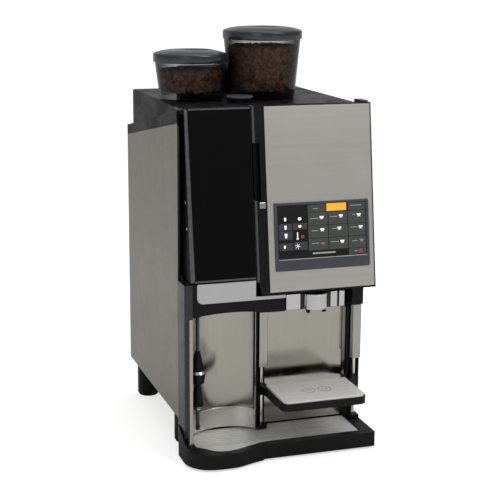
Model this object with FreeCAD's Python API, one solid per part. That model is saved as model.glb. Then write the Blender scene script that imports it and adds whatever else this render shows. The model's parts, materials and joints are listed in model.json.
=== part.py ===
import FreeCAD, Part
import math
import os
from FreeCAD import Vector

os.makedirs("parts", exist_ok=True)

# Counter-top bean-to-cup coffee machine.  Millimetres, +Z up, front towards -Y.
# Design coordinates: X from the left face, Y back from the front edge of the left side panel,
# Z up from the counter.  save() moves every piece so that the origin is the bottom centre.

# ---- overall sizes
WIDTH = 380.0
BODY_BACK = 402.0
SHELF_FRONT = -113.0
LEG_HEIGHT = 80.0
DECK_Z = 667.0
SHEET = 1.5

# ---- side panels and top
PANEL_TOP_FRONT = 643.0
PANEL_TOP_BACK = 572.0
RAIL_HEIGHT_FRONT = 23.5
RAIL_HEIGHT_BACK = 20.5
COVER_INSET = 11.0
COVER_BACK = 401.0
COVER_FRONT = 20.0
RIGHT_FRONT = 22.0
REAR_PANEL_Y = 398.5

# ---- doors: one plane leaning out towards the bottom
DOOR_TOP = 671.0
DOOR_SLOPE = 0.141
DOOR_BACK = 18.0
DOOR_WALL = 3.0
STEEL_DOOR_LEFT = 146.0
STEEL_DOOR_BOTTOM = 322.5
STEEL_HINGE = (373.0, 12.0)
BLACK_DOOR_LEFT = 13.0
BLACK_DOOR_RIGHT = 139.5
BLACK_DOOR_BOTTOM = 353.5
BLACK_DOOR_BACK = 14.0
BLACK_HINGE = (9.0, 0.0)
STRIP_WIDTH = 20.0
RECESS_BOTTOM = 497.0
RECESS_TOP = 603.0
CATCH_SIZE = 12.0

# ---- touch screen, an 8 inch panel
BEZEL_X = (178.0, 368.0)
BEZEL_Z = (365.0, 491.0)
GLASS_X = (184.0, 362.0)
GLASS_Z = (387.0, 487.0)

# ---- brewing bay
COLUMN_FRONT = -50.0
COLUMN_WIDTH = 15.0
COLUMN_TOP = 351.5
BAY_FLOOR = 34.5
HOOD_BOTTOM = 287.0
HOOD_RIGHT = 198.0
HOOD_ARCH = (15.0, 165.0)
BELOW_DOORS = (320.0, 351.0)
SPLASH_CENTRE = (98.0, -43.0)
SPLASH_RADIUS = 92.0
SPLASH_SPAN = (15.5, 159.5)
SPLASH_STEP_Z = 75.0
REAR_SPLASH_Y = 45.0
ROD_RADIUS = 3.5
ROD_Y = 24.0
ROD_XS = (174.0, 369.0)
COVER_Z = (162.0, 272.0)
SPOUT_X = 258.0
SPOUT_HALF_WIDTH = 59.0
SPOUT_Z = (289.0, 319.0)
NOZZLE_Y = -46.0
NOZZLE_PITCH = 32.0

# ---- cup shelf and tray
SHELF_X = (172.0, 342.0)
SHELF_TOP = 130.0
TRAY_Z = (5.0, 34.0)
TRAY_CHEEK = (66.0, 68.0)
TRAY_CHEEK_WALL = 3.0
GRATE_Z = (28.0, 30.5)

# ---- hoppers: centre, top radius, base radius, lid radius, rim height, lid top, bean level
HOPPER_BASE = 670.3
HOPPER_WALL = 2.5
NECK_RADIUS = 24.0
LEFT_HOPPER = dict(centre=(78.5, 180.0), top=72.0, base=62.0, lid=74.2,
                   rim=739.5, lid_top=763.0, level=724.0, flat=-1)
RIGHT_HOPPER = dict(centre=(222.0, 176.0), top=76.2, base=65.0, lid=78.4,
                    rim=782.0, lid_top=806.0, level=768.0, flat=1)
LID_FLAT = 144.0
FLAT_GAP = 1.0
LID_SKIRT = 18.0
CAP_CENTRE = (154.0, 107.5)
CAP_RADIUS = 26.0

# ---- steam wand
WAND = (36.0, -8.0)
WAND_PIVOT_Z = 281.0

ORIGIN = Vector(WIDTH / 2, (BODY_BACK + SHELF_FRONT) / 2, 0)


def save(name, shape):
    """Write one piece, moved into the part's own frame."""
    moved = shape.copy()
    moved.translate(-ORIGIN)
    moved.exportStep("parts/" + name + ".step")


def box(x, y, z):
    return Part.makeBox(x[1] - x[0], y[1] - y[0], z[1] - z[0], Vector(x[0], y[0], z[0]))


def cylinder(centre, radius, z):
    return Part.makeCylinder(radius, z[1] - z[0], Vector(centre[0], centre[1], z[0]))


def cylinder_y(x, z, radius, y):
    return Part.makeCylinder(radius, y[1] - y[0], Vector(x, y[0], z), Vector(0, 1, 0))


def cone(centre, radii, z):
    if abs(radii[0] - radii[1]) < 1e-6:
        return cylinder(centre, radii[0], z)
    return Part.makeCone(radii[0], radii[1], z[1] - z[0], Vector(centre[0], centre[1], z[0]))


def ring(centre, outer, inner, z):
    return cylinder(centre, outer, z).cut(cylinder(centre, inner, z))


def prism_x(points, x):
    """Polygon of (y, z) points pushed along X."""
    wire = Part.makePolygon([Vector(x[0], y, z) for y, z in points + points[:1]])
    return Part.Face(wire).extrude(Vector(x[1] - x[0], 0, 0))


def prism_y(points, y):
    """Polygon of (x, z) points pushed along Y."""
    wire = Part.makePolygon([Vector(x, y[0], z) for x, z in points + points[:1]])
    return Part.Face(wire).extrude(Vector(0, y[1] - y[0], 0))


def prism_z(points, z):
    """Polygon of (x, y) points pushed along Z."""
    wire = Part.makePolygon([Vector(x, y, z[0]) for x, y in points + points[:1]])
    return Part.Face(wire).extrude(Vector(0, 0, z[1] - z[0]))


def fuse(shapes):
    return shapes[0].multiFuse(shapes[1:]).removeSplitter()


def edges_along(shape, axis, where=lambda point: True):
    """Straight edges parallel to an axis whose middle passes the test."""
    found = []
    for edge in shape.Edges:
        if len(edge.Vertexes) != 2:
            continue
        step = edge.Vertexes[1].Point - edge.Vertexes[0].Point
        middle = (edge.Vertexes[1].Point + edge.Vertexes[0].Point) * 0.5
        if step.Length > 0 and abs(step.dot(axis)) > 0.999 * step.Length and where(middle):
            found.append(edge)
    return found


def round_edges(shape, radius, axis, where=lambda point: True):
    return shape.makeFillet(radius, edges_along(shape, axis, where))


AXIS_X = Vector(1, 0, 0)
AXIS_Z = Vector(0, 0, 1)


def door_front(z):
    return -DOOR_SLOPE * (DOOR_TOP - z)


def door_slab(x, z, front, back):
    """Slab that follows the doors' leaning front, between two offsets behind it."""
    points = [(door_front(z[0]) + front, z[0]), (door_front(z[1]) + front, z[1]),
              (door_front(z[1]) + back, z[1]), (door_front(z[0]) + back, z[0])]
    return prism_x(points, x)


def door_wedge(x, z, inset, back):
    """Wedge from the leaning front, set back by inset, to a vertical back plane."""
    points = [(door_front(z[0]) + inset, z[0]), (door_front(z[1]) + inset, z[1]),
              (back, z[1]), (back, z[0])]
    return prism_x(points, x)


def panel_top(y):
    share = y / BODY_BACK
    return PANEL_TOP_FRONT + (PANEL_TOP_BACK - PANEL_TOP_FRONT) * share


def rail_top(y):
    share = y / BODY_BACK
    return panel_top(y) + RAIL_HEIGHT_FRONT + (RAIL_HEIGHT_BACK - RAIL_HEIGHT_FRONT) * share


# ---------------------------------------------------------------- casing
def side_panels():
    left = [(0, LEG_HEIGHT), (BODY_BACK, LEG_HEIGHT), (BODY_BACK, PANEL_TOP_BACK),
            (0, PANEL_TOP_FRONT)]
    save("left_side_panel", prism_x(left, (0, SHEET)))
    right = [(RIGHT_FRONT, LEG_HEIGHT), (BODY_BACK, LEG_HEIGHT), (BODY_BACK, PANEL_TOP_BACK),
             (RIGHT_FRONT, panel_top(RIGHT_FRONT))]
    skin = prism_x(right, (WIDTH - SHEET, WIDTH))
    flange = box((WIDTH - 10, WIDTH - SHEET), (RIGHT_FRONT, RIGHT_FRONT + SHEET),
                 (STEEL_DOOR_BOTTOM, panel_top(RIGHT_FRONT + SHEET) - 0.1))
    save("right_side_panel", fuse([skin, flange]))


def shoulder_rails():
    rails = []
    for x, front in (((0, COVER_INSET), 0), ((WIDTH - COVER_INSET, WIDTH), RIGHT_FRONT)):
        points = [(front, panel_top(front)), (BODY_BACK, PANEL_TOP_BACK),
                  (BODY_BACK, rail_top(BODY_BACK)), (front, rail_top(front))]
        rails.append(prism_x(points, x))
    hinge_room = box((4.5, COVER_INSET), (0, COVER_FRONT), (PANEL_TOP_FRONT - 10, DECK_Z))
    rails[0] = rails[0].cut(hinge_room)
    save("shoulder_rails", Part.makeCompound(rails))


def top_cover():
    wall = 3.0
    x = (COVER_INSET, WIDTH - COVER_INSET)
    points = [(COVER_FRONT, panel_top(COVER_FRONT)), (COVER_BACK, panel_top(COVER_BACK)),
              (COVER_BACK, DECK_Z), (COVER_FRONT, DECK_Z)]
    outer = prism_x(points, x)
    outer = round_edges(outer, 8, AXIS_Z, lambda p: p.y > COVER_BACK - 1)
    outer = outer.makeFillet(3, [e for e in outer.Edges
                                 if e.BoundBox.ZMin > DECK_Z - 0.01])
    inner_points = [(COVER_FRONT + wall, panel_top(COVER_FRONT) - 20),
                    (COVER_BACK - wall, panel_top(COVER_BACK) - 20),
                    (COVER_BACK - wall, DECK_Z - wall), (COVER_FRONT + wall, DECK_Z - wall)]
    cover = outer.cut(prism_x(inner_points, (x[0] + wall, x[1] - wall)))
    for hopper in (LEFT_HOPPER, RIGHT_HOPPER):
        cover = cover.cut(cylinder(hopper["centre"], NECK_RADIUS + 6, (DECK_Z - 10, DECK_Z + 10)))
    cover = cover.cut(cylinder(CAP_CENTRE, CAP_RADIUS - 5, (DECK_Z - 10, DECK_Z + 10)))
    save("top_cover", cover)


def rear_panel():
    panel = box((SHEET, WIDTH - SHEET), (REAR_PANEL_Y, REAR_PANEL_Y + SHEET),
                (LEG_HEIGHT, PANEL_TOP_BACK))
    slots = [box((x, x + 70), (REAR_PANEL_Y - 1, REAR_PANEL_Y + 3), (z, z + 4))
             for x in (60, 155, 250) for z in range(380, 530, 14)]
    save("rear_panel", panel.cut(Part.makeCompound(slots)))
    heads = []
    for x in (14, WIDTH - 14):
        for z in (100, 250, 400, 550):
            heads.append(cylinder_y(x, z, 4, (REAR_PANEL_Y + SHEET, BODY_BACK)))
    save("rear_panel_screws", Part.makeCompound(heads))


def base_pan():
    lip = 20.0
    outline = [(2, 80), (187, 80), (187, 50), (378, 50), (378, 398), (2, 398)]
    pan = prism_z(outline, (LEG_HEIGHT, LEG_HEIGHT + lip))
    inside = [(4, 82), (189, 82), (189, 52), (376, 52), (376, 396), (4, 396)]
    save("base_pan", pan.cut(prism_z(inside, (LEG_HEIGHT + 2, LEG_HEIGHT + lip + 1))))


def frame_posts():
    posts = []
    for x in (6, WIDTH - 26):
        for y, top in ((100, 600), (374, 560)):
            outer = box((x, x + 20), (y, y + 20), (LEG_HEIGHT + 2, top))
            posts.append(outer.cut(box((x + 2, x + 18), (y + 2, y + 18), (LEG_HEIGHT + 2, top))))
    save("frame_posts", Part.makeCompound(posts))


def legs():
    solids = []
    for x in (33, WIDTH - 33):
        for y, radius in ((84, 18), (376, 23)):
            stem = cylinder((x, y), radius, (6, LEG_HEIGHT))
            pad = cone((x, y), (radius - 3, radius), (0, 6))
            solids.append(fuse([stem, pad]))
    save("legs", Part.makeCompound(solids))


# ---------------------------------------------------------------- front frame and bay
def front_bulkhead():
    plate = box((4, WIDTH - 4), (24, 26), (324, 636))
    windows = [box((215, 300), (20, 30), (340, 450)), box((30, 120), (20, 30), (400, 560)),
               box((180, 340), (20, 30), (470, 600))]
    save("front_bulkhead", plate.cut(Part.makeCompound(windows)))


def left_front_column():
    lower = box((0, COLUMN_WIDTH), (COLUMN_FRONT, 0), (BAY_FLOOR, COLUMN_TOP))
    lower = round_edges(lower, 4, AXIS_Z, lambda p: p.y < COLUMN_FRONT + 1 and p.x < 1)
    inner = box((SHEET, COLUMN_WIDTH), (0, 8), (BAY_FLOOR, COLUMN_TOP))
    lower = lower.cut(box((-1, 3.5), (COLUMN_FRONT - 1, 1), (0, TRAY_CHEEK[1] + 2)))
    lower = lower.cut(box((-1, 6.5), (COLUMN_FRONT - 1, -34), (0, TRAY_CHEEK[1] + 2)))
    inner = inner.cut(box((-1, 3.5), (-1, 1), (0, TRAY_CHEEK[1] + 2)))
    post = box((SHEET, 4.5), (0, COVER_FRONT), (COLUMN_TOP, panel_top(COVER_FRONT) - 1))
    save("left_front_column", fuse([lower, inner, post]))
    trim = box((8.5, COLUMN_WIDTH), (COLUMN_FRONT - SHEET, COLUMN_FRONT), (BAY_FLOOR, HOOD_BOTTOM))
    save("column_trim", trim)


def bay_hood():
    front = -43.0
    low = box((COLUMN_WIDTH, HOOD_RIGHT), (front, RIGHT_FRONT), (HOOD_BOTTOM, BELOW_DOORS[0]))
    high = box((COLUMN_WIDTH, 139), (front, RIGHT_FRONT), BELOW_DOORS)
    hood = fuse([low, high])
    rise = 6.0
    half = (HOOD_ARCH[1] - HOOD_ARCH[0]) / 2
    radius = (half ** 2 + rise ** 2) / (2 * rise)
    arch = cylinder_y(HOOD_ARCH[0] + half, HOOD_BOTTOM + rise - radius, radius, (-60, 40))
    hood = hood.cut(arch)
    hood = hood.cut(cylinder(WAND, 7, (HOOD_BOTTOM - 10, HOOD_BOTTOM + 12)))
    save("bay_hood", hood)
    low = 313.5
    panel = fuse([box((25, 139), (front - 3, front), (low, BELOW_DOORS[1])),
                  box((25, HOOD_RIGHT), (front - 3, front), (low, BELOW_DOORS[0]))])
    panel = panel.makeFillet(12, [e for e in panel.Edges
                                  if abs(e.BoundBox.ZMax - low) < 0.1 and
                                  abs(e.BoundBox.XMax - 25) < 0.1])
    save("light_panel", panel)


def splash():
    def curved(thickness, z):
        bend = ring(SPLASH_CENTRE, SPLASH_RADIUS, SPLASH_RADIUS - thickness, z)
        bend = bend.common(box(SPLASH_SPAN, (SPLASH_CENTRE[1], 100), z))
        fold = box((SPLASH_SPAN[1] - SHEET, SPLASH_SPAN[1]), (14, 26.5), z)
        return fuse([bend, fold])

    save("splash_shield", curved(SHEET, (SPLASH_STEP_Z, HOOD_BOTTOM)))
    save("splash_base", curved(SHEET + 2, (BAY_FLOOR, SPLASH_STEP_Z)))
    wall = fuse([box((60, 186), (76, 79), (BAY_FLOOR, 300)),
                 box((4, 186), (76, 79), (LEG_HEIGHT + 20, 300)),
                 box((183, 186), (REAR_SPLASH_Y + 1.5, 79), (BAY_FLOOR, 300)),
                 box((183, WIDTH - 4), (REAR_SPLASH_Y + 1.5, REAR_SPLASH_Y + 4.5),
                     (BAY_FLOOR, 300))])
    save("bay_wall", wall)
    sheet = fuse([box((188, 358), (REAR_SPLASH_Y, REAR_SPLASH_Y + SHEET), (BAY_FLOOR, 262)),
                  box((354.5, 356), (38, REAR_SPLASH_Y), (120, 262))])
    save("rear_splash", sheet)


def rails():
    channels, rods, covers = [], [], []
    for x, walls, lip in ((ROD_XS[0], (-14, 12), 12), (ROD_XS[1], (-12, 9.4), 28)):
        back = box((x + walls[0], x + walls[1]), (38, REAR_SPLASH_Y), (BAY_FLOOR, 274))
        side = box((x + walls[0], x + walls[0] + 2), (lip, 38), (BAY_FLOOR, 274))
        foot = box((x - 9, x + 9), (12, 38), (BAY_FLOOR, 42))
        channel = fuse([back, side, foot]).cut(cylinder((x, ROD_Y), ROD_RADIUS, (30, 60)))
        channels.append(channel)
        rods.append(cylinder((x, ROD_Y), ROD_RADIUS, (BAY_FLOOR, 274)))
        shell = box((x - 9, x + 9), (10, 37), COVER_Z)
        shell = round_edges(shell, 2.5, AXIS_Z, lambda p: p.y < 11)
        shell = shell.cut(box((x - 7.5, x + 7.5), (11.5, 40), (COVER_Z[0] - 1, COVER_Z[1] - SHEET)))
        covers.append(shell.cut(cylinder((x, ROD_Y), ROD_RADIUS, (200, 300))))
    pillar = box((355, WIDTH - SHEET), (6, REAR_SPLASH_Y), (274, 319))
    channels[1] = fuse([channels[1], pillar.cut(cylinder(STEEL_HINGE, 3, (300, 330)))])
    save("rail_channels", Part.makeCompound(channels))
    save("rail_rods", Part.makeCompound(rods))
    save("rail_covers", Part.makeCompound(covers))


def hinge_hardware():
    top = fuse([box((363, WIDTH - 2), (STEEL_HINGE[1] - 5, 40), (DOOR_TOP + 1, DOOR_TOP + 3)),
                box((363, WIDTH - COVER_INSET), (22, 40), (DECK_Z, DOOR_TOP + 1))])
    pins = [cylinder(STEEL_HINGE, 3, (DOOR_TOP - DOOR_WALL, DOOR_TOP + 1)),
            cylinder(STEEL_HINGE, 3, (310, STEEL_DOOR_BOTTOM + DOOR_WALL))]
    arm = box((4.5, 12.5), (BLACK_HINGE[1] - 3.6, 32), (DECK_Z, DECK_Z + 3))
    arm = round_edges(arm, 3.5, AXIS_Z, lambda p: p.y < 0)
    solids = [fuse([top, pins[0]]), pins[1],
              fuse([arm, cylinder(BLACK_HINGE, 2.5, (661, DECK_Z))]),
              cylinder(BLACK_HINGE, 2.5, (COLUMN_TOP, BLACK_DOOR_BOTTOM + 6))]
    save("door_hinges", Part.makeCompound(solids))


def spout():
    x = (SPOUT_X - SPOUT_HALF_WIDTH, SPOUT_X + SPOUT_HALF_WIDTH)
    body = box(x, (-46, REAR_SPLASH_Y), SPOUT_Z)
    bulge = cylinder((SPOUT_X, -38), 25, SPOUT_Z)
    cover = fuse([body, bulge])
    grooves = [box((SPOUT_X + at - half, SPOUT_X + at + half), (-70, -36), (0, 500))
               for at, half in ((-27, 3.5), (27, 3.5), (46, 2))]
    cover = cover.cut(Part.makeCompound(grooves))
    cover = cover.cut(box((x[0] + 3, x[1] - 3), (-34, 40), (SPOUT_Z[0] - 1, SPOUT_Z[1] - 3)))
    tips = [(SPOUT_X + side * NOZZLE_PITCH / 2 + 1, NOZZLE_Y) for side in (-1, 1)]
    nozzles = []
    for tip in tips:
        cover = cover.cut(cylinder(tip, 5, (SPOUT_Z[0] - 1, SPOUT_Z[0] + 20)))
        outer = fuse([cylinder(tip, 5, (SPOUT_Z[0], SPOUT_Z[0] + 20)),
                      cone(tip, (3.6, 4.6), (SPOUT_Z[0] - 8, SPOUT_Z[0]))])
        nozzles.append(outer.cut(cylinder(tip, 2.2, (SPOUT_Z[0] - 9, SPOUT_Z[0] + 15))))
    save("spout_cover", cover)
    save("spout_nozzles", Part.makeCompound(nozzles))


# ---------------------------------------------------------------- doors
def steel_door():
    x = (STEEL_DOOR_LEFT, WIDTH)
    z = (STEEL_DOOR_BOTTOM, DOOR_TOP)
    frame = door_wedge(x, z, 0, DOOR_BACK)
    inner_x = (x[0] + DOOR_WALL, x[1] - DOOR_WALL)
    inner_z = (z[0] + DOOR_WALL, z[1] - DOOR_WALL)
    frame = frame.cut(door_wedge(inner_x, inner_z, DOOR_WALL, DOOR_BACK + 5))
    catch_z = (RECESS_BOTTOM - 2 - CATCH_SIZE, RECESS_BOTTOM - 2)
    catch_x = (STEEL_DOOR_LEFT + 4.5, STEEL_DOOR_LEFT + 4.5 + CATCH_SIZE)
    backing = door_slab((x[0], x[0] + STRIP_WIDTH), (catch_z[0] - 4, RECESS_TOP + 4), 0, 15)
    frame = fuse([frame, backing])
    frame = frame.cut(door_slab((x[0] - 1, x[0] + 9), (RECESS_BOTTOM, RECESS_TOP), -5, 12))
    pocket = (catch_x[0] - 0.5, catch_x[1] + 0.5), (catch_z[0] - 0.5, catch_z[1] + 0.5)
    frame = frame.cut(door_slab(pocket[0], pocket[1], -5, 11))
    corner = prism_y([(x[0] - 1, z[0] - 1), (x[0] + 4, z[0] - 1), (x[0] - 1, z[0] + 22)], (-80, 40))
    frame = frame.cut(corner)
    frame = frame.cut(cylinder(STEEL_HINGE, 3.06, (300, 700)))
    save("steel_door_frame", frame)
    catch = door_slab(catch_x, catch_z, -3, 6)
    save("door_catch", round_edges(catch, 2, AXIS_X, lambda p: p.y < door_front(p.z)))
    skin = door_slab((x[0] + STRIP_WIDTH, x[1] - 3), (z[0] + 4, z[1] - 2), -1, 0)
    skin = skin.cut(door_slab(BEZEL_X, BEZEL_Z, -2, 1))
    save("steel_door_skin", skin)
    trims = []
    for span in ((z[0] + 24, RECESS_BOTTOM), (RECESS_TOP, z[1] - 1)):
        bar = door_slab((x[0] - 4.5, x[0]), span, -1, 16)
        slanted = [e for e in bar.Edges if e.BoundBox.XMax < x[0] - 4.4 and
                   e.BoundBox.ZLength > 20 and e.CenterOfMass.y < door_front(e.CenterOfMass.z)]
        trims.append(bar.makeFillet(4, slanted))
    save("centre_trim", Part.makeCompound(trims))


def screen():
    bezel = door_slab(BEZEL_X, BEZEL_Z, -4, 0)
    bezel = bezel.makeFillet(5, [e for e in bezel.Edges if e.BoundBox.XLength < 0.01 and
                                 e.BoundBox.ZLength < 0.01])
    bezel = bezel.cut(door_slab(GLASS_X, GLASS_Z, -5, -3))
    save("screen_bezel", bezel)
    save("screen_glass", door_slab(GLASS_X, GLASS_Z, -4, -3))


def black_door():
    x = (BLACK_DOOR_LEFT, BLACK_DOOR_RIGHT)
    z = (BLACK_DOOR_BOTTOM, DOOR_TOP - 1)
    frame = door_wedge(x, z, 0, BLACK_DOOR_BACK)
    inner_x = (x[0] + DOOR_WALL, x[1] - DOOR_WALL)
    inner_z = (z[0] + DOOR_WALL, z[1] - DOOR_WALL)
    frame = frame.cut(door_wedge(inner_x, inner_z, DOOR_WALL, BLACK_DOOR_BACK + 5))
    lugs = []
    for lug_z in ((660, 666.3), (z[0] + 1, z[0] + 7)):
        lug = cylinder(BLACK_HINGE, 3.8, lug_z)
        arm = box((BLACK_HINGE[0], x[0] + 1), (-0.5, 3.8), lug_z)
        lugs.append(lug.fuse(arm))
    frame = fuse([frame] + lugs).cut(cylinder(BLACK_HINGE, 2.56, (300, 700)))
    save("black_door_frame", frame)
    glass = door_slab((x[0] + 8, x[1] - 1), (z[0] + 4, z[1] - 4), -1.5, 0)
    save("black_door_glass", glass)
    edge_front = [(x[0], z[0] + 2), (x[0] + 8, z[0] + 2), (x[0] + 6, z[1] - 2), (x[0], z[1] - 2)]
    edge = prism_y(edge_front, (-80, 40)).common(door_slab((0, WIDTH), z, -2.5, 0))
    top = door_slab((x[0] + 8, x[1] - 1), (z[1] - 4, z[1] - 1), -2, 0)
    bottom = door_slab((x[0] + 8, x[1] - 1), (z[0] + 1, z[0] + 4), -2, 0)
    save("black_door_trims", Part.makeCompound([edge, top, bottom]))


# ---------------------------------------------------------------- shelf and tray
def cup_shelf():
    bottom, top = 109.0, SHELF_TOP - 4
    slab = box(SHELF_X, (SHELF_FRONT, -2), (bottom, top))
    slab = round_edges(slab, 16, AXIS_Z, lambda p: p.y < -100)
    slab = slab.cut(prism_x([(SHELF_FRONT - 1, bottom - 1), (SHELF_FRONT - 1, bottom + 3),
                             (-40, bottom), (-40, bottom - 1)], (0, WIDTH)))
    parts = [slab]
    for x, reach in ((ROD_XS[0], SHELF_X[0] + 12), (ROD_XS[1], SHELF_X[1] - 12)):
        collar = cylinder((x, ROD_Y), 8.6, (bottom - 6, top - 1))
        low, high = min(x - 6, reach), max(x + 6, reach)
        if x == ROD_XS[0]:
            arm = prism_z([(x - 7, ROD_Y), (x + 7, ROD_Y), (high + 6, -12), (low + 4, -12)],
                          (bottom, top - 2))
        else:
            arm = prism_z([(x - 7, ROD_Y - 4), (x + 7, ROD_Y), (high - 3, 4), (low, -12),
                           (low - 18, -12), (low + 10, 2)], (bottom, top - 2))
        parts += [collar, arm]
    carriage = fuse(parts)
    for x in ROD_XS:
        carriage = carriage.cut(cylinder((x, ROD_Y), ROD_RADIUS + 0.08, (0, 300)))
    save("shelf_carriage", carriage)
    plate = box((SHELF_X[0] + 3, SHELF_X[1] - 3), (SHELF_FRONT + 3, -4), (top, SHELF_TOP))
    save("shelf_plate", round_edges(plate, 13, AXIS_Z, lambda p: p.y < -100))


def tray_outline(inset, z, depth):
    """Plan of the tray: straight back and sides, bulging front on the left.  Inset shrinks it."""
    left, right = inset, WIDTH - inset
    back = 48 - min(inset, 2)
    lead = 0.75 * inset
    bulge = [(left, -38), (left + 6, -64 + lead), (left + 26, -85 + lead), (65, -93 + lead),
             (95, -91 + lead), (122, -81 + lead), (150, -71 + lead), (180, -68 + lead)]
    curve = Part.BSplineCurve()
    curve.interpolate([Vector(x, y, z) for x, y in bulge],
                      InitialTangent=Vector(0, -1, 0), FinalTangent=Vector(1, 0, 0))
    corner = 4.0
    front = -68 + lead
    arc = Part.Arc(Vector(right - corner, front, z),
                   Vector(right - corner * (1 - math.sqrt(0.5)), front + corner * (1 - math.sqrt(0.5)), z),
                   Vector(right, front + corner, z))
    edges = [curve.toShape(),
             Part.LineSegment(Vector(180, front, z), Vector(right - corner, front, z)).toShape(),
             arc.toShape(),
             Part.LineSegment(Vector(right, front + corner, z), Vector(right, back, z)).toShape(),
             Part.LineSegment(Vector(right, back, z), Vector(left, back, z)).toShape(),
             Part.LineSegment(Vector(left, back, z), Vector(left, -38, z)).toShape()]
    return Part.Face(Part.Wire(edges)).extrude(Vector(0, 0, depth))


def drip_tray():
    low, high = TRAY_Z
    tray = tray_outline(0, low, high - low)
    tray = tray.cut(box((-1, 18), (0, 60), (0, high + 1)))
    wall = tray_outline(0, low, TRAY_CHEEK[1]).cut(tray_outline(TRAY_CHEEK_WALL, low, TRAY_CHEEK[1]))
    slope = prism_x([(-TRAY_CHEEK[0], high - 2), (-TRAY_CHEEK[0], high), (-0.5, TRAY_CHEEK[1]),
                     (-0.5, high - 2)], (-1, 16))
    cheek = wall.common(slope)
    tray = tray.cut(tray_outline(24, GRATE_Z[0], high - GRATE_Z[0] + 1))
    tray = tray.cut(tray_outline(28, low + 3, high - low))
    save("drip_tray", fuse([tray, cheek]))
    grate = tray_outline(24.5, GRATE_Z[0], GRATE_Z[1] - GRATE_Z[0])
    slot_width, slot_pitch, slot_length = 2.4, 12.0, 94.0
    slots = [box((x, x + slot_length), (y, y + slot_width), (20, 40))
             for y in [-38 + slot_pitch * row for row in range(7)]
             for x in (44, 146, 248)]
    slots += [box((62, 62 + 0.5 * slot_length), (y, y + slot_width), (20, 40))
              for y in (-38 - slot_pitch,)]
    save("tray_grate", grate.cut(Part.makeCompound(slots)))


# ---------------------------------------------------------------- hoppers
def d_shape(hopper, radii, z, gap):
    """Round tapering plug, cut flat on the side that faces the other hopper."""
    plug = cone(hopper["centre"], radii, z)
    limit = LID_FLAT + hopper["flat"] * (FLAT_GAP + gap)
    span = (limit, limit + 300) if hopper["flat"] < 0 else (limit - 300, limit)
    return plug.cut(box(span, (0, 400), (600, 900)))


def hopper_set(side, hopper):
    centre = hopper["centre"]
    floor = HOPPER_BASE + 14
    grow = (hopper["top"] - hopper["base"]) / (hopper["rim"] + 8 - HOPPER_BASE)

    def radius(z):
        return hopper["base"] + grow * (z - HOPPER_BASE)

    shell = d_shape(hopper, (radius(HOPPER_BASE), hopper["top"]),
                    (HOPPER_BASE, hopper["rim"] + 8), 3)
    inner = d_shape(hopper, (radius(floor) - HOPPER_WALL, hopper["top"] - HOPPER_WALL),
                    (floor, hopper["rim"] + 9), 3 + HOPPER_WALL)
    shell = shell.cut(inner)
    shell = shell.cut(cone(centre, (NECK_RADIUS - 2, NECK_RADIUS + 14), (HOPPER_BASE, floor)))
    neck = ring(centre, NECK_RADIUS, NECK_RADIUS - 2, (646, HOPPER_BASE))
    save(side + "_hopper", fuse([shell, neck]))
    beans = d_shape(hopper, (radius(floor) - HOPPER_WALL - 4, radius(hopper["level"]) - HOPPER_WALL - 4),
                    (floor + 0.5, hopper["level"]), 3 + HOPPER_WALL + 4)
    save(side + "_beans", beans)
    skirt = d_shape(hopper, (hopper["lid"] - 0.6, hopper["lid"]),
                    (hopper["rim"], hopper["rim"] + LID_SKIRT), 0)
    crown = d_shape(hopper, (hopper["lid"], hopper["lid"] - 12),
                    (hopper["rim"] + LID_SKIRT, hopper["lid_top"]), 0)
    lid = fuse([skirt, crown])
    hollow = d_shape(hopper, (hopper["top"] + 0.6, hopper["top"] + 0.6),
                     (hopper["rim"] - 1, hopper["rim"] + 8.3), 2.2)
    lid = lid.cut(hollow)
    handle = Part.makeSphere(45, Vector(centre[0], centre[1], hopper["lid_top"] + 40))
    save(side + "_hopper_lid", lid.cut(handle))


def deck_parts():
    collars = []
    for hopper in (LEFT_HOPPER, RIGHT_HOPPER):
        flange = ring(hopper["centre"], 40, NECK_RADIUS + 1, (DECK_Z, DECK_Z + 3))
        sleeve = ring(hopper["centre"], NECK_RADIUS + 5, NECK_RADIUS + 1, (648, DECK_Z))
        collars.append(fuse([flange, sleeve]))
    collars.append(fuse([ring(CAP_CENTRE, CAP_RADIUS - 2, CAP_RADIUS - 9, (DECK_Z, DECK_Z + 8)),
                         ring(CAP_CENTRE, CAP_RADIUS - 5.5, CAP_RADIUS - 9, (640, DECK_Z))]))
    save("deck_collars", Part.makeCompound(collars))
    cap = fuse([cylinder(CAP_CENTRE, CAP_RADIUS, (DECK_Z + 8.3, DECK_Z + 12)),
                cylinder(CAP_CENTRE, CAP_RADIUS - 9.5, (DECK_Z - 6, DECK_Z + 8.3))])
    cap = cap.makeFillet(2, [e for e in cap.Edges if e.BoundBox.ZMin > DECK_Z + 11.9])
    save("chute_cap", cap)
    housing = box((100, 330), (275, 385), (DECK_Z, 716))
    housing = round_edges(housing, 12, AXIS_Z)
    housing = housing.makeFillet(6, [e for e in housing.Edges if e.BoundBox.ZMin > 715.9])
    save("rear_housing", housing.cut(box((103, 327), (278, 382), (DECK_Z, 712))))


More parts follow.
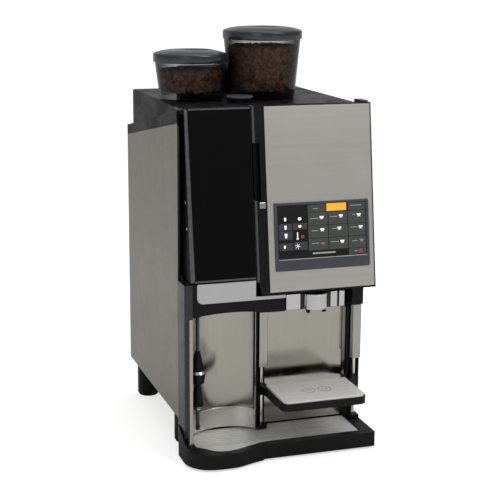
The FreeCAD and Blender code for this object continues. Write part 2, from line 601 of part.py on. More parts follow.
# ---------------------------------------------------------------- steam wand
def steam_wand():
    z = WAND_PIVOT_Z
    ball = Part.makeSphere(5.5, Vector(WAND[0], WAND[1], z))
    tube = cylinder(WAND, 3.4, (62, z))
    tip = cone(WAND, (3.6, 5), (56, 64))
    pin = Part.makeCylinder(2.5, 13, Vector(WAND[0] - 6.5, WAND[1], z), AXIS_X)
    save("steam_wand", fuse([ball, tube, tip, pin]))
    grip = fuse([cone(WAND, (13.5, 4.6), (175, 213)), cylinder(WAND, 15.5, (168, 170)),
                 cone(WAND, (12.5, 15.5), (150, 168)), cone(WAND, (15.5, 13.5), (170, 175)),
                 cone(WAND, (11.5, 6.5), (104, 146)), cylinder(WAND, 6.5, (146, 150)),
                 cylinder(WAND, 6.5, (96, 104))])
    grip = grip.cut(cylinder(WAND, 3.4, (90, 220)))
    save("wand_grip", grip)
    hub = cone(WAND, (16.6, 14.0), (170.2, 175)).cut(cone(WAND, (15.6, 13.6), (170, 175)))
    rings = [hub, ring(WAND, 9.0, 6.5, (98, 100)), ring(WAND, 8.6, 6.5, (101.5, 103))]
    save("wand_rings", Part.makeCompound(rings))


# ---------------------------------------------------------------- inside
def grinders():
    housings, motors = [], []
    for side, hopper in (("left", LEFT_HOPPER), ("right", RIGHT_HOPPER)):
        centre = hopper["centre"]
        bowl = cylinder(centre, 46, (575, 640)).cut(cylinder(centre, 39, (580, 632)))
        bowl = bowl.cut(cylinder(centre, 20, (630, 650))).cut(cylinder(centre, 7.5, (570, 590)))
        housings.append(bowl)
        motors.append(fuse([cylinder(centre, 42, (470, 560)), cylinder(centre, 30, (455, 470))]))
        burr = fuse([cone(centre, (34, 22), (590, 612)), cylinder(centre, 6, (561, 590))])
        for tooth in range(8):
            angle = tooth * 360 / 8
            groove = box((centre[0] + 12, centre[0] + 40), (centre[1] - 1.5, centre[1] + 1.5), (603, 615))
            groove.rotate(Vector(centre[0], centre[1], 0), AXIS_Z, angle)
            burr = burr.cut(groove)
        save(side + "_burr", burr)
    save("grinder_housings", Part.makeCompound(housings))
    save("grinder_motors", Part.makeCompound(motors))


def brewing():
    centre = (258, 110)
    chamber = cylinder(centre, 34, (350, 440)).cut(cylinder(centre, 26, (356, 441)))
    spigot = cylinder(centre, 8, (338, 350))
    save("brew_chamber", fuse([chamber, spigot]).cut(cylinder(centre, 3, (330, 360))))
    save("brew_piston", fuse([cylinder(centre, 25.6, (400, 420)), cylinder(centre, 8, (420, 452))]))
    tanks = []
    for x, radius in ((105, 55), (235, 60)):
        tank = cylinder((x, 300), radius, (110, 330))
        tank = tank.makeFillet(18, [e for e in tank.Edges if e.BoundBox.ZLength < 0.1])
        tanks.append(fuse([tank] + [cylinder((x + dx, 300), 6, (325, 345)) for dx in (-20, 20)]))
    save("boilers", Part.makeCompound(tanks))
    pump = fuse([cylinder((335, 300), 24, (110, 190)), cylinder((335, 300), 18, (190, 235)),
                 box((315, 355), (280, 320), (102, 112))])
    save("water_pump", pump)
    bin_outer = box((195, 330), (60, 200), (104, 250))
    save("grounds_bin", bin_outer.cut(box((197, 328), (62, 198), (106, 251))))


def electrics():
    board = box((366, 368), (130, 300), (360, 540))
    parts = [box((350, 366), (150 + 40 * i, 176 + 40 * i), (400, 440)) for i in range(3)]
    save("control_board", fuse([board] + parts))


def water_fittings():
    fittings = []
    for x, radius in ((110, 13.2), (150, 11)):
        drop = cylinder((x, 372), 9, (62, LEG_HEIGHT))
        body = cylinder_y(x, 62, radius, (360, 396))
        nut = cylinder_y(x, 62, radius + 4, (366, 374))
        fittings.append(fuse([drop, body, nut]).cut(cylinder_y(x, 62, radius - 4, (380, 400))))
    save("water_fittings", Part.makeCompound(fittings))


for build in (side_panels, shoulder_rails, top_cover, rear_panel, base_pan, frame_posts, legs,
              front_bulkhead, left_front_column, bay_hood, splash, rails, hinge_hardware, spout,
              steel_door, screen, black_door, cup_shelf, drip_tray, deck_parts, steam_wand,
              grinders, brewing, electrics, water_fittings):
    build()
hopper_set("left", LEFT_HOPPER)
hopper_set("right", RIGHT_HOPPER)
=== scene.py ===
import json
import math

import bmesh
import bpy
from mathutils import Matrix, Vector

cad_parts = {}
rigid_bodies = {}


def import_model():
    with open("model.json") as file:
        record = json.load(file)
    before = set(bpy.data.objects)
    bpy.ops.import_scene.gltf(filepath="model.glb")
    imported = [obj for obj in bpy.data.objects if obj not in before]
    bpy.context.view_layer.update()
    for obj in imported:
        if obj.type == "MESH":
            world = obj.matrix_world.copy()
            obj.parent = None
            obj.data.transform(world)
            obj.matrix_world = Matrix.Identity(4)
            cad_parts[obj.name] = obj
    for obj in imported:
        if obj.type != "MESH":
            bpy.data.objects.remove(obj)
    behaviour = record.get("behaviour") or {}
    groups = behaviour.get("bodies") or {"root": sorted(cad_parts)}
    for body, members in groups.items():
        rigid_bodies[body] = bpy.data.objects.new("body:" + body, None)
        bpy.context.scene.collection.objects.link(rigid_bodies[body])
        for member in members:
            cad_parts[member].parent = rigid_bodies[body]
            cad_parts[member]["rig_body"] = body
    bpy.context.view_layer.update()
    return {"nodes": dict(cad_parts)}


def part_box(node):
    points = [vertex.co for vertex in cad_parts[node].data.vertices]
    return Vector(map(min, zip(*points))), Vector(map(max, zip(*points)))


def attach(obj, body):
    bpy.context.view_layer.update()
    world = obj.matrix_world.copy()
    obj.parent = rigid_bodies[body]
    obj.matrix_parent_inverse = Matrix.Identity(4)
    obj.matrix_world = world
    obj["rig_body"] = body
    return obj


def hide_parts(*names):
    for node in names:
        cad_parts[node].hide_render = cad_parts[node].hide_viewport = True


bl_info = {
    "name": "Bean to cup coffee machine",
    "version": (1, 0, 0),
    "blender": (4, 5, 0),
    "location": "View3D > Sidebar > Coffee machine",
    "description": "Dresses the coffee machine's frame with finished pieces, materials, light and a camera",
    "category": "Object",
}

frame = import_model()
NODES = frame["nodes"]
MM = 0.001
UP = Vector((0, 0, 1))


# ---------------------------------------------------------------- settings
def shade(red, green, blue):
    """A display colour, 0 to 255, as the linear colour that a shader takes."""
    return tuple(((c / 255 + 0.055) / 1.055) ** 2.4 if c > 10 else c / 255 / 12.92
                 for c in (red, green, blue))


def colour_setting(name, description, colour):
    return bpy.props.FloatVectorProperty(name=name, description=description, subtype="COLOR", size=3,
                                         min=0, max=1, default=shade(*colour))


def length_setting(name, description, millimetres):
    return bpy.props.FloatProperty(name=name, description=description, default=millimetres * MM,
                                   min=0, unit="LENGTH")


class MachineColours(bpy.types.PropertyGroup):
    """Colours that a maker would choose for the machine."""

    side_steel: colour_setting("Side steel", "Brushed steel of the side and rear panels", (152, 146, 136))
    door_steel: colour_setting("Door steel", "Brushed steel skin of the main door", (222, 218, 210))
    bright_steel: colour_setting("Bright steel", "Steel of the splash sheets, plates and rail covers",
                                 (178, 174, 165))
    plate_steel: colour_setting("Plate steel", "Brushed cup shelf plate and tray grate", (240, 239, 234))
    chrome: colour_setting("Chrome", "Plated spout cover, catch and rings", (205, 205, 204))
    black_plastic: colour_setting("Black plastic", "Moulded frames, hood, tray and legs", (14, 14, 16))
    deck_plastic: colour_setting("Deck plastic", "Top cover and shoulder rails", (12, 12, 16))
    lid_plastic: colour_setting("Lid plastic", "Satin hopper lids", (74, 75, 82))
    bezel_plastic: colour_setting("Bezel", "Frame around the touch screen", (66, 69, 76))
    light_plastic: colour_setting("Light plastic", "Light grey panel and deck cap", (196, 195, 196))
    beans: colour_setting("Beans", "Roasted beans", (158, 116, 90))
    accent: colour_setting("Screen accent", "Highlighted button on the touch screen", (240, 172, 48))


class MachineSizes(bpy.types.PropertyGroup):
    """Sizes of the small details that are added to the frame."""

    edge: length_setting("Edge radius", "Rounding of pressed and moulded edges", 0.7)
    bean_length: length_setting("Bean length", "Longest side of one bean", 12.0)
    bean_gap: length_setting("Bean spacing", "Closest distance between two beans' centres", 5.3)
    screw: length_setting("Screw head", "Diameter of the rear panel's screw heads", 7.5)
    rib_pitch: length_setting("Rib pitch", "Distance between the tray's drain ribs", 4.0)
    bean_seed: bpy.props.IntProperty(name="Bean seed", description="Which heap of beans is drawn", default=4,
                                     min=0)


def colours():
    return bpy.context.scene.machine_colours


def sizes():
    return bpy.context.scene.machine_sizes


# ---------------------------------------------------------------- node helpers
def node(tree, kind, values=None, **settings):
    """Adds a node.  A socket among the values is linked, and anything else is set."""
    made = tree.nodes.new(kind)
    for name, setting in settings.items():
        setattr(made, name, setting)
    for key, value in (values or {}).items():
        if isinstance(value, bpy.types.NodeSocket):
            tree.links.new(value, made.inputs[key])
        else:
            made.inputs[key].default_value = value
    return made


def group(name, kind, inputs, outputs):
    """An empty node group with named sockets, and its two ends."""
    tree = bpy.data.node_groups.new(name, kind)
    for label, socket_kind, default in inputs:
        socket = tree.interface.new_socket(label, in_out="INPUT", socket_type=socket_kind)
        if default is not None:
            socket.default_value = default
    for label, socket_kind in outputs:
        tree.interface.new_socket(label, in_out="OUTPUT", socket_type=socket_kind)
    return tree, tree.nodes.new("NodeGroupInput"), tree.nodes.new("NodeGroupOutput")


FLOAT = "NodeSocketFloat"
VECTOR = "NodeSocketVector"


# ---------------------------------------------------------------- shared shader groups
def brushed_grain():
    """Fine lines from a brushing belt: the stretch is low along the lines and high across them."""
    tree, start, end = group("brushed_grain", "ShaderNodeTree",
                             [("Vector", VECTOR, None), ("Stretch", VECTOR, (1, 1, 1))],
                             [("Mask", FLOAT), ("Height", FLOAT)])
    stretched = node(tree, "ShaderNodeVectorMath", {0: start.outputs["Vector"], 1: start.outputs["Stretch"]},
                     operation="MULTIPLY")
    lines = node(tree, "ShaderNodeTexNoise", {"Vector": stretched.outputs[0], "Scale": 1.0, "Detail": 5.0,
                                              "Roughness": 0.72})
    bands = node(tree, "ShaderNodeTexNoise", {"Vector": stretched.outputs[0], "Scale": 0.16, "Detail": 3.0})
    broad = node(tree, "ShaderNodeTexNoise", {"Vector": start.outputs["Vector"], "Scale": 5.0, "Detail": 2.0})
    streaks = node(tree, "ShaderNodeMix", {0: 0.5, 2: lines.outputs["Fac"], 3: bands.outputs["Fac"]})
    mixed = node(tree, "ShaderNodeMix", {0: 0.25, 2: streaks.outputs[0], 3: broad.outputs["Fac"]})
    sharp = node(tree, "ShaderNodeMapRange", {"Value": mixed.outputs[0], "From Min": 0.32, "From Max": 0.68})
    tree.links.new(sharp.outputs["Result"], end.inputs["Mask"])
    tree.links.new(lines.outputs["Fac"], end.inputs["Height"])
    return tree


def moulded_texture():
    """Spark-eroded mould texture: fine pebbles with a slow change of tone."""
    tree, start, end = group("moulded_texture", "ShaderNodeTree",
                             [("Vector", VECTOR, None), ("Scale", FLOAT, 900.0)],
                             [("Mask", FLOAT), ("Height", FLOAT)])
    pebbles = node(tree, "ShaderNodeTexVoronoi", {"Vector": start.outputs["Vector"],
                                                  "Scale": start.outputs["Scale"]}, feature="SMOOTH_F1")
    speckle = node(tree, "ShaderNodeTexNoise", {"Vector": start.outputs["Vector"],
                                                "Scale": start.outputs["Scale"], "Detail": 3.0})
    broad = node(tree, "ShaderNodeTexNoise", {"Vector": start.outputs["Vector"], "Scale": 9.0, "Detail": 3.0})
    height = node(tree, "ShaderNodeMix", {0: 0.5, 2: pebbles.outputs["Distance"], 3: speckle.outputs["Fac"]})
    mask = node(tree, "ShaderNodeMix", {0: 0.7, 2: speckle.outputs["Fac"], 3: broad.outputs["Fac"]})
    sharp = node(tree, "ShaderNodeMapRange", {"Value": mask.outputs[0], "From Min": 0.3, "From Max": 0.7})
    tree.links.new(sharp.outputs["Result"], end.inputs["Mask"])
    tree.links.new(height.outputs[0], end.inputs["Height"])
    return tree


def handling_marks():
    """Smears left by hands and cloths, as a mask for roughness."""
    tree, start, end = group("handling_marks", "ShaderNodeTree",
                             [("Vector", VECTOR, None), ("Scale", FLOAT, 14.0)], [("Mask", FLOAT)])
    bent = node(tree, "ShaderNodeTexNoise", {"Vector": start.outputs["Vector"],
                                             "Scale": start.outputs["Scale"],
                                             "Detail": 4.0, "Distortion": 1.2})
    sharp = node(tree, "ShaderNodeMapRange", {"Value": bent.outputs["Fac"], "From Min": 0.38,
                                              "From Max": 0.66})
    tree.links.new(sharp.outputs["Result"], end.inputs["Mask"])
    return tree


def edge_wear():
    """Bright rubbed edges, broken up by noise."""
    tree, start, end = group("edge_wear", "ShaderNodeTree", [("Vector", VECTOR, None)], [("Mask", FLOAT)])
    shape = node(tree, "ShaderNodeNewGeometry")
    edge = node(tree, "ShaderNodeMapRange", {"Value": shape.outputs["Pointiness"], "From Min": 0.52,
                                             "From Max": 0.6})
    chips = node(tree, "ShaderNodeTexNoise", {"Vector": start.outputs["Vector"], "Scale": 160.0,
                                              "Detail": 4.0})
    broken = node(tree, "ShaderNodeMapRange", {"Value": chips.outputs["Fac"], "From Min": 0.35,
                                               "From Max": 0.6})
    both = node(tree, "ShaderNodeMath", {0: edge.outputs["Result"], 1: broken.outputs["Result"]},
                operation="MULTIPLY")
    tree.links.new(both.outputs[0], end.inputs["Mask"])
    return tree


def settled_dust():
    """Thin dust on faces that look up."""
    tree, start, end = group("settled_dust", "ShaderNodeTree", [("Vector", VECTOR, None)], [("Mask", FLOAT)])
    shape = node(tree, "ShaderNodeNewGeometry")
    split = node(tree, "ShaderNodeSeparateXYZ", {0: shape.outputs["Normal"]})
    facing = node(tree, "ShaderNodeMapRange", {"Value": split.outputs["Z"], "From Min": 0.6, "From Max": 1.0})
    motes = node(tree, "ShaderNodeTexNoise", {"Vector": start.outputs["Vector"], "Scale": 60.0,
                                              "Detail": 6.0})
    patchy = node(tree, "ShaderNodeMapRange", {"Value": motes.outputs["Fac"], "From Min": 0.42,
                                               "From Max": 0.75})
    both = node(tree, "ShaderNodeMath", {0: facing.outputs["Result"], 1: patchy.outputs["Result"]},
                operation="MULTIPLY")
    tree.links.new(both.outputs[0], end.inputs["Mask"])
    return tree


def display_cells():
    """Cell pattern of a lit display, for tiles and icons that lie on it."""
    tree, start, end = group("display_cells", "ShaderNodeTree",
                             [("Vector", VECTOR, None), ("Pitch", FLOAT, 1600.0)], [("Mask", FLOAT)])
    cells = node(tree, "ShaderNodeTexWave", {"Vector": start.outputs["Vector"],
                                             "Scale": start.outputs["Pitch"]},
                 bands_direction="X")
    rows = node(tree, "ShaderNodeTexWave", {"Vector": start.outputs["Vector"],
                                            "Scale": start.outputs["Pitch"]},
                bands_direction="Z")
    both = node(tree, "ShaderNodeMix", {0: 0.5, 2: cells.outputs["Fac"], 3: rows.outputs["Fac"]})
    tree.links.new(both.outputs[0], end.inputs["Mask"])
    return tree


GROUPS = {make.__name__: make for make in (brushed_grain, moulded_texture, handling_marks, edge_wear,
                                           settled_dust, display_cells)}


def placed(tree, name, values):
    """One shared group, built on its first use, as a node with its own values."""
    shared = bpy.data.node_groups.get(name) or GROUPS[name]()
    return node(tree, "ShaderNodeGroup", values, node_tree=shared)


# ---------------------------------------------------------------- finishes
def tinted(colour, factor):
    return tuple(min(1.0, c * factor) for c in colour) + (1.0,)


def blank(name):
    """A new material, its tree, its shader and the object's own coordinates."""
    material = bpy.data.materials.new(name)
    material.use_nodes = True
    tree = material.node_tree
    place = node(tree, "ShaderNodeTexCoord").outputs["Object"]
    return material, tree, tree.nodes["Principled BSDF"], place


def worked_surface(name, colour, spread, roughness, metallic=0.0, pattern="moulded_texture", values=None,
                   bump=0.02, wear=0.25, dust=0.15, shine=0.5, smear=0.08):
    """Metal or plastic with its grain or mould texture, handling marks, rubbed edges and dust."""
    material, tree, shader, place = blank(name)
    grain = placed(tree, pattern, {"Vector": place, **(values or {})})
    base = node(tree, "ShaderNodeMix", {0: grain.outputs["Mask"], 6: tinted(colour, 1 - spread),
                                        7: tinted(colour, 1 + spread)}, data_type="RGBA")
    edges = placed(tree, "edge_wear", {"Vector": place})
    edge_share = node(tree, "ShaderNodeMath", {0: edges.outputs["Mask"], 1: wear}, operation="MULTIPLY")
    worn = node(tree, "ShaderNodeMix", {0: edge_share.outputs[0], 6: base.outputs[2],
                                        7: tinted([0.25 + 0.75 * c for c in colour], 1)}, data_type="RGBA")
    motes = placed(tree, "settled_dust", {"Vector": place})
    mote_share = node(tree, "ShaderNodeMath", {0: motes.outputs["Mask"], 1: dust}, operation="MULTIPLY")
    dusty = node(tree, "ShaderNodeMix", {0: mote_share.outputs[0], 6: worn.outputs[2],
                                         7: shade(178, 174, 168) + (1.0,)}, data_type="RGBA")
    tree.links.new(dusty.outputs[2], shader.inputs["Base Color"])
    marks = placed(tree, "handling_marks", {"Vector": place})
    rough = node(tree, "ShaderNodeMapRange", {"Value": marks.outputs["Mask"], "To Min": roughness - smear / 2,
                                              "To Max": roughness + smear})
    tree.links.new(rough.outputs["Result"], shader.inputs["Roughness"])
    relief = node(tree, "ShaderNodeBump", {"Height": grain.outputs["Height"], "Strength": 0.5,
                                           "Distance": bump * MM})
    tree.links.new(relief.outputs["Normal"], shader.inputs["Normal"])
    shader.inputs["Metallic"].default_value = metallic
    shader.inputs["Specular IOR Level"].default_value = shine
    return material


ACROSS = {"Stretch": (6.0, 900.0, 900.0)}
UPRIGHT = {"Stretch": (900.0, 900.0, 6.0)}
LENGTHWISE = {"Stretch": (900.0, 6.0, 900.0)}


def side_steel(name):
    return worked_surface(name, colours().side_steel, 0.08, 0.36, 1.0, "brushed_grain", UPRIGHT, dust=0.01,
                          smear=0.03)


def door_steel(name):
    return worked_surface(name, colours().door_steel, 0.07, 0.34, 1.0, "brushed_grain", ACROSS, dust=0.01,
                          smear=0.015)


def splash_steel(name):
    return worked_surface(name, colours().bright_steel, 0.05, 0.12, 1.0, "brushed_grain", UPRIGHT, dust=0.02,
                          smear=0.05)


def plate_steel(name):
    return worked_surface(name, colours().plate_steel, 0.16, 0.34, 0.05, "brushed_grain", ACROSS, bump=0.04,
                          dust=0.05)


def polished_steel(name):
    return worked_surface(name, colours().plate_steel, 0.05, 0.2, 1.0, "brushed_grain",
                          {"Stretch": (20.0, 20.0, 700.0)}, dust=0.0, smear=0.06)


def chrome(name):
    return worked_surface(name, colours().chrome, 0.03, 0.08, 1.0, "brushed_grain", ACROSS, bump=0.005,
                          dust=0.0, smear=0.05)


def frame_black(name):
    return worked_surface(name, colours().black_plastic, 0.12, 0.42, bump=0.05, wear=0.03, dust=0.02,
                          shine=0.2)


def column_black(name):
    return worked_surface(name, shade(32, 31, 33), 0.08, 0.24, bump=0.02, wear=0.06, dust=0.02, shine=0.55)


def deck_black(name):
    return worked_surface(name, colours().deck_plastic, 0.08, 0.32, bump=0.05, wear=0.04, dust=0.08,
                          shine=0.06)


def light_grey(name):
    return worked_surface(name, colours().light_plastic, 0.03, 0.42, bump=0.02, wear=0.1, dust=0.05)


def trim_grey(name):
    return worked_surface(name, shade(84, 84, 88), 0.06, 0.34, bump=0.02, wear=0.2, shine=0.3)


def bezel_grey(name):
    return worked_surface(name, colours().bezel_plastic, 0.05, 0.38, bump=0.02, wear=0.15)


def lid_charcoal(name):
    return worked_surface(name, colours().lid_plastic, 0.05, 0.22, 0.7, bump=0.01, wear=0.3, dust=0.0,
                          smear=0.04)


def dark_steel(name):
    return worked_surface(name, shade(86, 86, 90), 0.08, 0.28, 1.0, "brushed_grain", UPRIGHT)


def motor_metal(name):
    return worked_surface(name, shade(150, 150, 152), 0.15, 0.45, 1.0, "brushed_grain", UPRIGHT)


def jacket_grey(name):
    return worked_surface(name, shade(120, 122, 124), 0.2, 0.8, values={"Scale": 260.0}, bump=0.6, wear=0.0)


def brass(name):
    return worked_surface(name, shade(196, 158, 92), 0.12, 0.3, 1.0, "brushed_grain", LENGTHWISE)


def gloss_black(name):
    return worked_surface(name, shade(9, 9, 10), 0.02, 0.1, bump=0.0, wear=0.0, dust=0.0, shine=0.15,
                          values={"Scale": 40.0}, smear=0.03)


def screen_glass(name):
    return worked_surface(name, shade(26, 28, 28), 0.2, 0.09, bump=0.001, wear=0.0, dust=0.0, shine=0.3,
                          values={"Scale": 30.0})


def yellow_label(name):
    return worked_surface(name, shade(214, 206, 120), 0.06, 0.45, bump=0.01, wear=0.1)


# Near-black of the strips in the spout's grooves: painted shade.
def groove_black(name):
    return worked_surface(name, shade(28, 28, 30), 0.1, 0.5, bump=0.03, wear=0.0)


def smoke_clear(name):
    """Thin smoky copolyester that the beans are seen through."""
    material, tree, shader, place = blank(name)
    marks = placed(tree, "handling_marks", {"Vector": place, "Scale": 20.0})
    tint = node(tree, "ShaderNodeMix", {0: marks.outputs["Mask"], 6: shade(16, 16, 17) + (1.0,),
                                        7: shade(26, 26, 27) + (1.0,)}, data_type="RGBA")
    tree.links.new(tint.outputs[2], shader.inputs["Base Color"])
    rough = node(tree, "ShaderNodeMapRange", {"Value": marks.outputs["Mask"], "To Min": 0.03, "To Max": 0.1})
    tree.links.new(rough.outputs["Result"], shader.inputs["Roughness"])
    slant = node(tree, "ShaderNodeLayerWeight", {"Blend": 0.45})
    film = node(tree, "ShaderNodeMapRange", {"Value": slant.outputs["Facing"], "From Min": 0.1,
                                             "To Min": 0.26, "To Max": 0.99})
    tree.links.new(film.outputs["Result"], shader.inputs["Alpha"])
    shader.inputs["Specular IOR Level"].default_value = 0.4
    return material


def coffee_beans(name):
    """Roasted skin, each bean a little lighter or darker, with oily patches."""
    material, tree, shader, place = blank(name)
    own = node(tree, "ShaderNodeAttribute", attribute_name="roast")
    patches = node(tree, "ShaderNodeTexNoise", {"Vector": place, "Scale": 700.0, "Detail": 4.0})
    mixed = node(tree, "ShaderNodeMix", {0: 0.35, 2: own.outputs["Fac"], 3: patches.outputs["Fac"]})
    skin = node(tree, "ShaderNodeMix", {0: mixed.outputs[0], 6: tinted(colours().beans, 0.45),
                                        7: tinted(colours().beans, 1.9)}, data_type="RGBA")
    tree.links.new(skin.outputs[2], shader.inputs["Base Color"])
    rough = node(tree, "ShaderNodeMapRange", {"Value": patches.outputs["Fac"], "To Min": 0.28, "To Max": 0.6})
    tree.links.new(rough.outputs["Result"], shader.inputs["Roughness"])
    relief = node(tree, "ShaderNodeBump", {"Height": patches.outputs["Fac"], "Strength": 0.4,
                                           "Distance": 0.2 * MM})
    tree.links.new(relief.outputs["Normal"], shader.inputs["Normal"])
    shader.inputs["Specular IOR Level"].default_value = 0.12
    return material


def circuit_board(name):
    """Green laminate with etched tracks."""
    material, tree, shader, place = blank(name)
    tracks = node(tree, "ShaderNodeTexBrick", {"Vector": place, "Scale": 90.0, "Mortar Size": 0.03,
                                               "Color1": shade(20, 78, 48) + (1.0,),
                                               "Color2": shade(26, 92, 56) + (1.0,),
                                               "Mortar": shade(120, 130, 70) + (1.0,)})
    tree.links.new(tracks.outputs["Color"], shader.inputs["Base Color"])
    relief = node(tree, "ShaderNodeBump", {"Height": tracks.outputs["Fac"], "Distance": 0.05 * MM})
    tree.links.new(relief.outputs["Normal"], shader.inputs["Normal"])
    shader.inputs["Roughness"].default_value = 0.4
    return material


def lit_ink(name, colour, glow):
    """A lit area of the display, with the cells of the panel under it."""
    material, tree, shader, place = blank(name)
    cells = placed(tree, "display_cells", {"Vector": place})
    drift = node(tree, "ShaderNodeTexNoise", {"Vector": place, "Scale": 30.0})
    both = node(tree, "ShaderNodeMix", {0: 0.5, 2: cells.outputs["Mask"], 3: drift.outputs["Fac"]})
    ink = node(tree, "ShaderNodeMix", {0: both.outputs[0], 6: tinted(colour, 0.9), 7: tinted(colour, 1.1)},
               data_type="RGBA")
    tree.links.new(ink.outputs[2], shader.inputs["Base Color"])
    tree.links.new(ink.outputs[2], shader.inputs["Emission Color"])
    rough = node(tree, "ShaderNodeMapRange", {"Value": drift.outputs["Fac"], "To Min": 0.1, "To Max": 0.2})
    tree.links.new(rough.outputs["Result"], shader.inputs["Roughness"])
    shader.inputs["Emission Strength"].default_value = glow
    return material


SCREEN_INKS = {
    "ink_tile": ((66, 70, 66), 0.3),
    "ink_column": ((62, 60, 66), 0.25),
    "ink_dark": ((22, 20, 22), 0.1),
    # Line ink of the display, also used for the glowing strip under the glass, which is a painted highlight.
    "ink_line": ((150, 152, 150), 0.4),
    "ink_white": ((235, 236, 236), 0.6),
    "ink_red": ((150, 62, 62), 0.4),
    "ink_brown": ((150, 96, 84), 0.35),
    "ink_blue": ((120, 130, 176), 0.35),
}

FINISHES = {make.__name__: make for make in (
    side_steel, door_steel, splash_steel, plate_steel, polished_steel, chrome, frame_black, column_black,
    deck_black, light_grey, trim_grey, bezel_grey, lid_charcoal, dark_steel, motor_metal, jacket_grey,
    brass, gloss_black, screen_glass, yellow_label, groove_black, smoke_clear, coffee_beans,
    circuit_board)}


def finish(name):
    """The worked material of that name, made on its first use."""
    own = name + "_worked"
    if own in bpy.data.materials:
        return bpy.data.materials[own]
    if name in SCREEN_INKS:
        colour, glow = SCREEN_INKS[name]
        return lit_ink(own, shade(*colour), glow)
    if name == "ink_accent":
        return lit_ink(own, tuple(colours().accent), 0.5)
    return FINISHES[name](own)


# ---------------------------------------------------------------- piece helpers
def settle(name, mesh, body, slot, look=None, replaces=()):
    """Makes a mesh a piece of the object, riding on a body."""
    piece = bpy.data.objects.new(name, mesh)
    bpy.context.scene.collection.objects.link(piece)
    mesh.materials.clear()
    mesh.materials.append(finish(look or slot))
    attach(piece, body)
    for cad_node in replaces:
        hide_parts(cad_node)
    return piece


def mesh_from(name, points, faces, smooth_angle=35.0):
    """A mesh from corners and faces, smooth except at corners sharper than the angle."""
    mesh = bpy.data.meshes.new(name)
    mesh.from_pydata([tuple(p) for p in points], [], faces)
    mesh.shade_smooth()
    mesh.set_sharp_from_angle(angle=math.radians(smooth_angle))
    return mesh


def merged_copy(cad_node, name):
    """A frame node's mesh with its loose triangles joined into clean faces."""
    work = bmesh.new()
    work.from_mesh(NODES[cad_node].data)
    bmesh.ops.remove_doubles(work, verts=work.verts, dist=0.004 * MM)
    bmesh.ops.dissolve_limit(work, angle_limit=math.radians(0.8), verts=work.verts, edges=work.edges)
    mesh = bpy.data.meshes.new(name)
    work.to_mesh(mesh)
    work.free()
    if "custom_normal" in mesh.attributes:
        mesh.attributes.remove(mesh.attributes["custom_normal"])
    mesh.shade_smooth()
    return mesh


def soften(piece, radius, segments=2):
    """Rounds a piece's edges."""
    bevel = piece.modifiers.new("edges", "BEVEL")
    bevel.width = radius
    bevel.segments = segments
    bevel.limit_method = "ANGLE"
    bevel.angle_limit = math.radians(32)
    bevel.harden_normals = True
    return piece


def dress(slot, *cad_nodes, edge=None, look=None):
    """Finished pieces that stand for frame nodes of the same shape, with rounded edges."""
    for cad_node in cad_nodes:
        name = cad_node + "_finished"
        mesh = merged_copy(cad_node, name)
        piece = settle(name, mesh, NODES[cad_node]["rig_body"], slot, look, [cad_node])
        soften(piece, edge or sizes().edge)


def repaint(slot, *cad_nodes):
    """Gives frame nodes that keep their own shape a finish."""
    for cad_node in cad_nodes:
        shown = NODES[cad_node]
        shown.data.materials.clear()
        shown.data.materials.append(finish(slot))


def ringed(rings, close_start=True, close_end=True):
    """Corners and faces of a skin over rings of equal count.  Closed ends meet at the ring's middle."""
    count = len(rings[0])
    points = [p for one in rings for p in one]
    faces = []
    for row in range(len(rings) - 1):
        for i in range(count):
            j = (i + 1) % count
            a, b = row * count, (row + 1) * count
            faces.append((a + i, a + j, b + j, b + i))
    for closed, row, turn in ((close_start, 0, 1), (close_end, len(rings) - 1, 0)):
        if closed:
            points.append(sum(rings[row], Vector()) / count)
            middle = len(points) - 1
            for i in range(count):
                pair = (row * count + i, row * count + (i + 1) % count)
                faces.append((pair[1], pair[0], middle) if turn else (pair[0], pair[1], middle))
    return points, faces


def prisms(outlines, place, thickness):
    """Flat plates with these outlines in u, v, as thick as given, on the plane that place() maps to."""
    points, faces = [], []
    for outline in outlines:
        first, count = len(points), len(outline)
        points += [place(u, v, 0.0) for u, v in outline]
        points += [place(u, v, thickness) for u, v in outline]
        faces.append(tuple(first + i for i in reversed(range(count))))
        faces.append(tuple(first + count + i for i in range(count)))
        for i in range(count):
            j = (i + 1) % count
            faces.append((first + i, first + j, first + count + j, first + count + i))
    return points, faces


def facing_out(mesh):
    """Turns every face outwards."""
    work = bmesh.new()
    work.from_mesh(mesh)
    bmesh.ops.recalc_face_normals(work, faces=work.faces)
    work.to_mesh(mesh)
    work.free()
    return mesh


def rectangle(u0, v0, u1, v1):
    return [(u0, v0), (u1, v0), (u1, v1), (u0, v1)]


def ellipse(u, v, ru, rv, count=20, start=0.0, sweep=math.tau):
    step = sweep / (count if sweep >= math.tau else count - 1)
    return [(u + ru * math.cos(start + step * i), v + rv * math.sin(start + step * i)) for i in range(count)]


def rounded_block(name, low, high, radius, segments=3):
    """A block with rounded edges, for labels and for the strips of painted shade in the spout's grooves."""
    work = bmesh.new()
    bmesh.ops.create_cube(work, size=1.0)
    size = high - low
    bmesh.ops.scale(work, vec=size, verts=work.verts)
    bmesh.ops.translate(work, vec=(low + high) / 2, verts=work.verts)
    bmesh.ops.bevel(work, geom=work.edges[:], offset=radius, segments=segments, affect="EDGES", profile=0.5)
    mesh = bpy.data.meshes.new(name)
    work.to_mesh(mesh)
    work.free()
    mesh.shade_smooth()
    mesh.set_sharp_from_angle(angle=math.radians(50))
    return mesh


# ---------------------------------------------------------------- geometry node helpers
def grown(name, tree, base, values):
    """Runs a geometry tree on a base mesh, and returns the result as a plain mesh."""
    carrier = bpy.data.objects.new(name + "_carrier", base)
    bpy.context.scene.collection.objects.link(carrier)
    modifier = carrier.modifiers.new("grow", "NODES")
    modifier.node_group = tree
    for item in tree.interface.items_tree:
        if item.item_type == "SOCKET" and item.in_out == "INPUT" and item.name in values:
            modifier[item.identifier] = values[item.name]
    carrier.update_tag()
    graph = bpy.context.evaluated_depsgraph_get()
    mesh = bpy.data.meshes.new_from_object(carrier.evaluated_get(graph))
    mesh.name = name
    bpy.data.objects.remove(carrier)
    return mesh


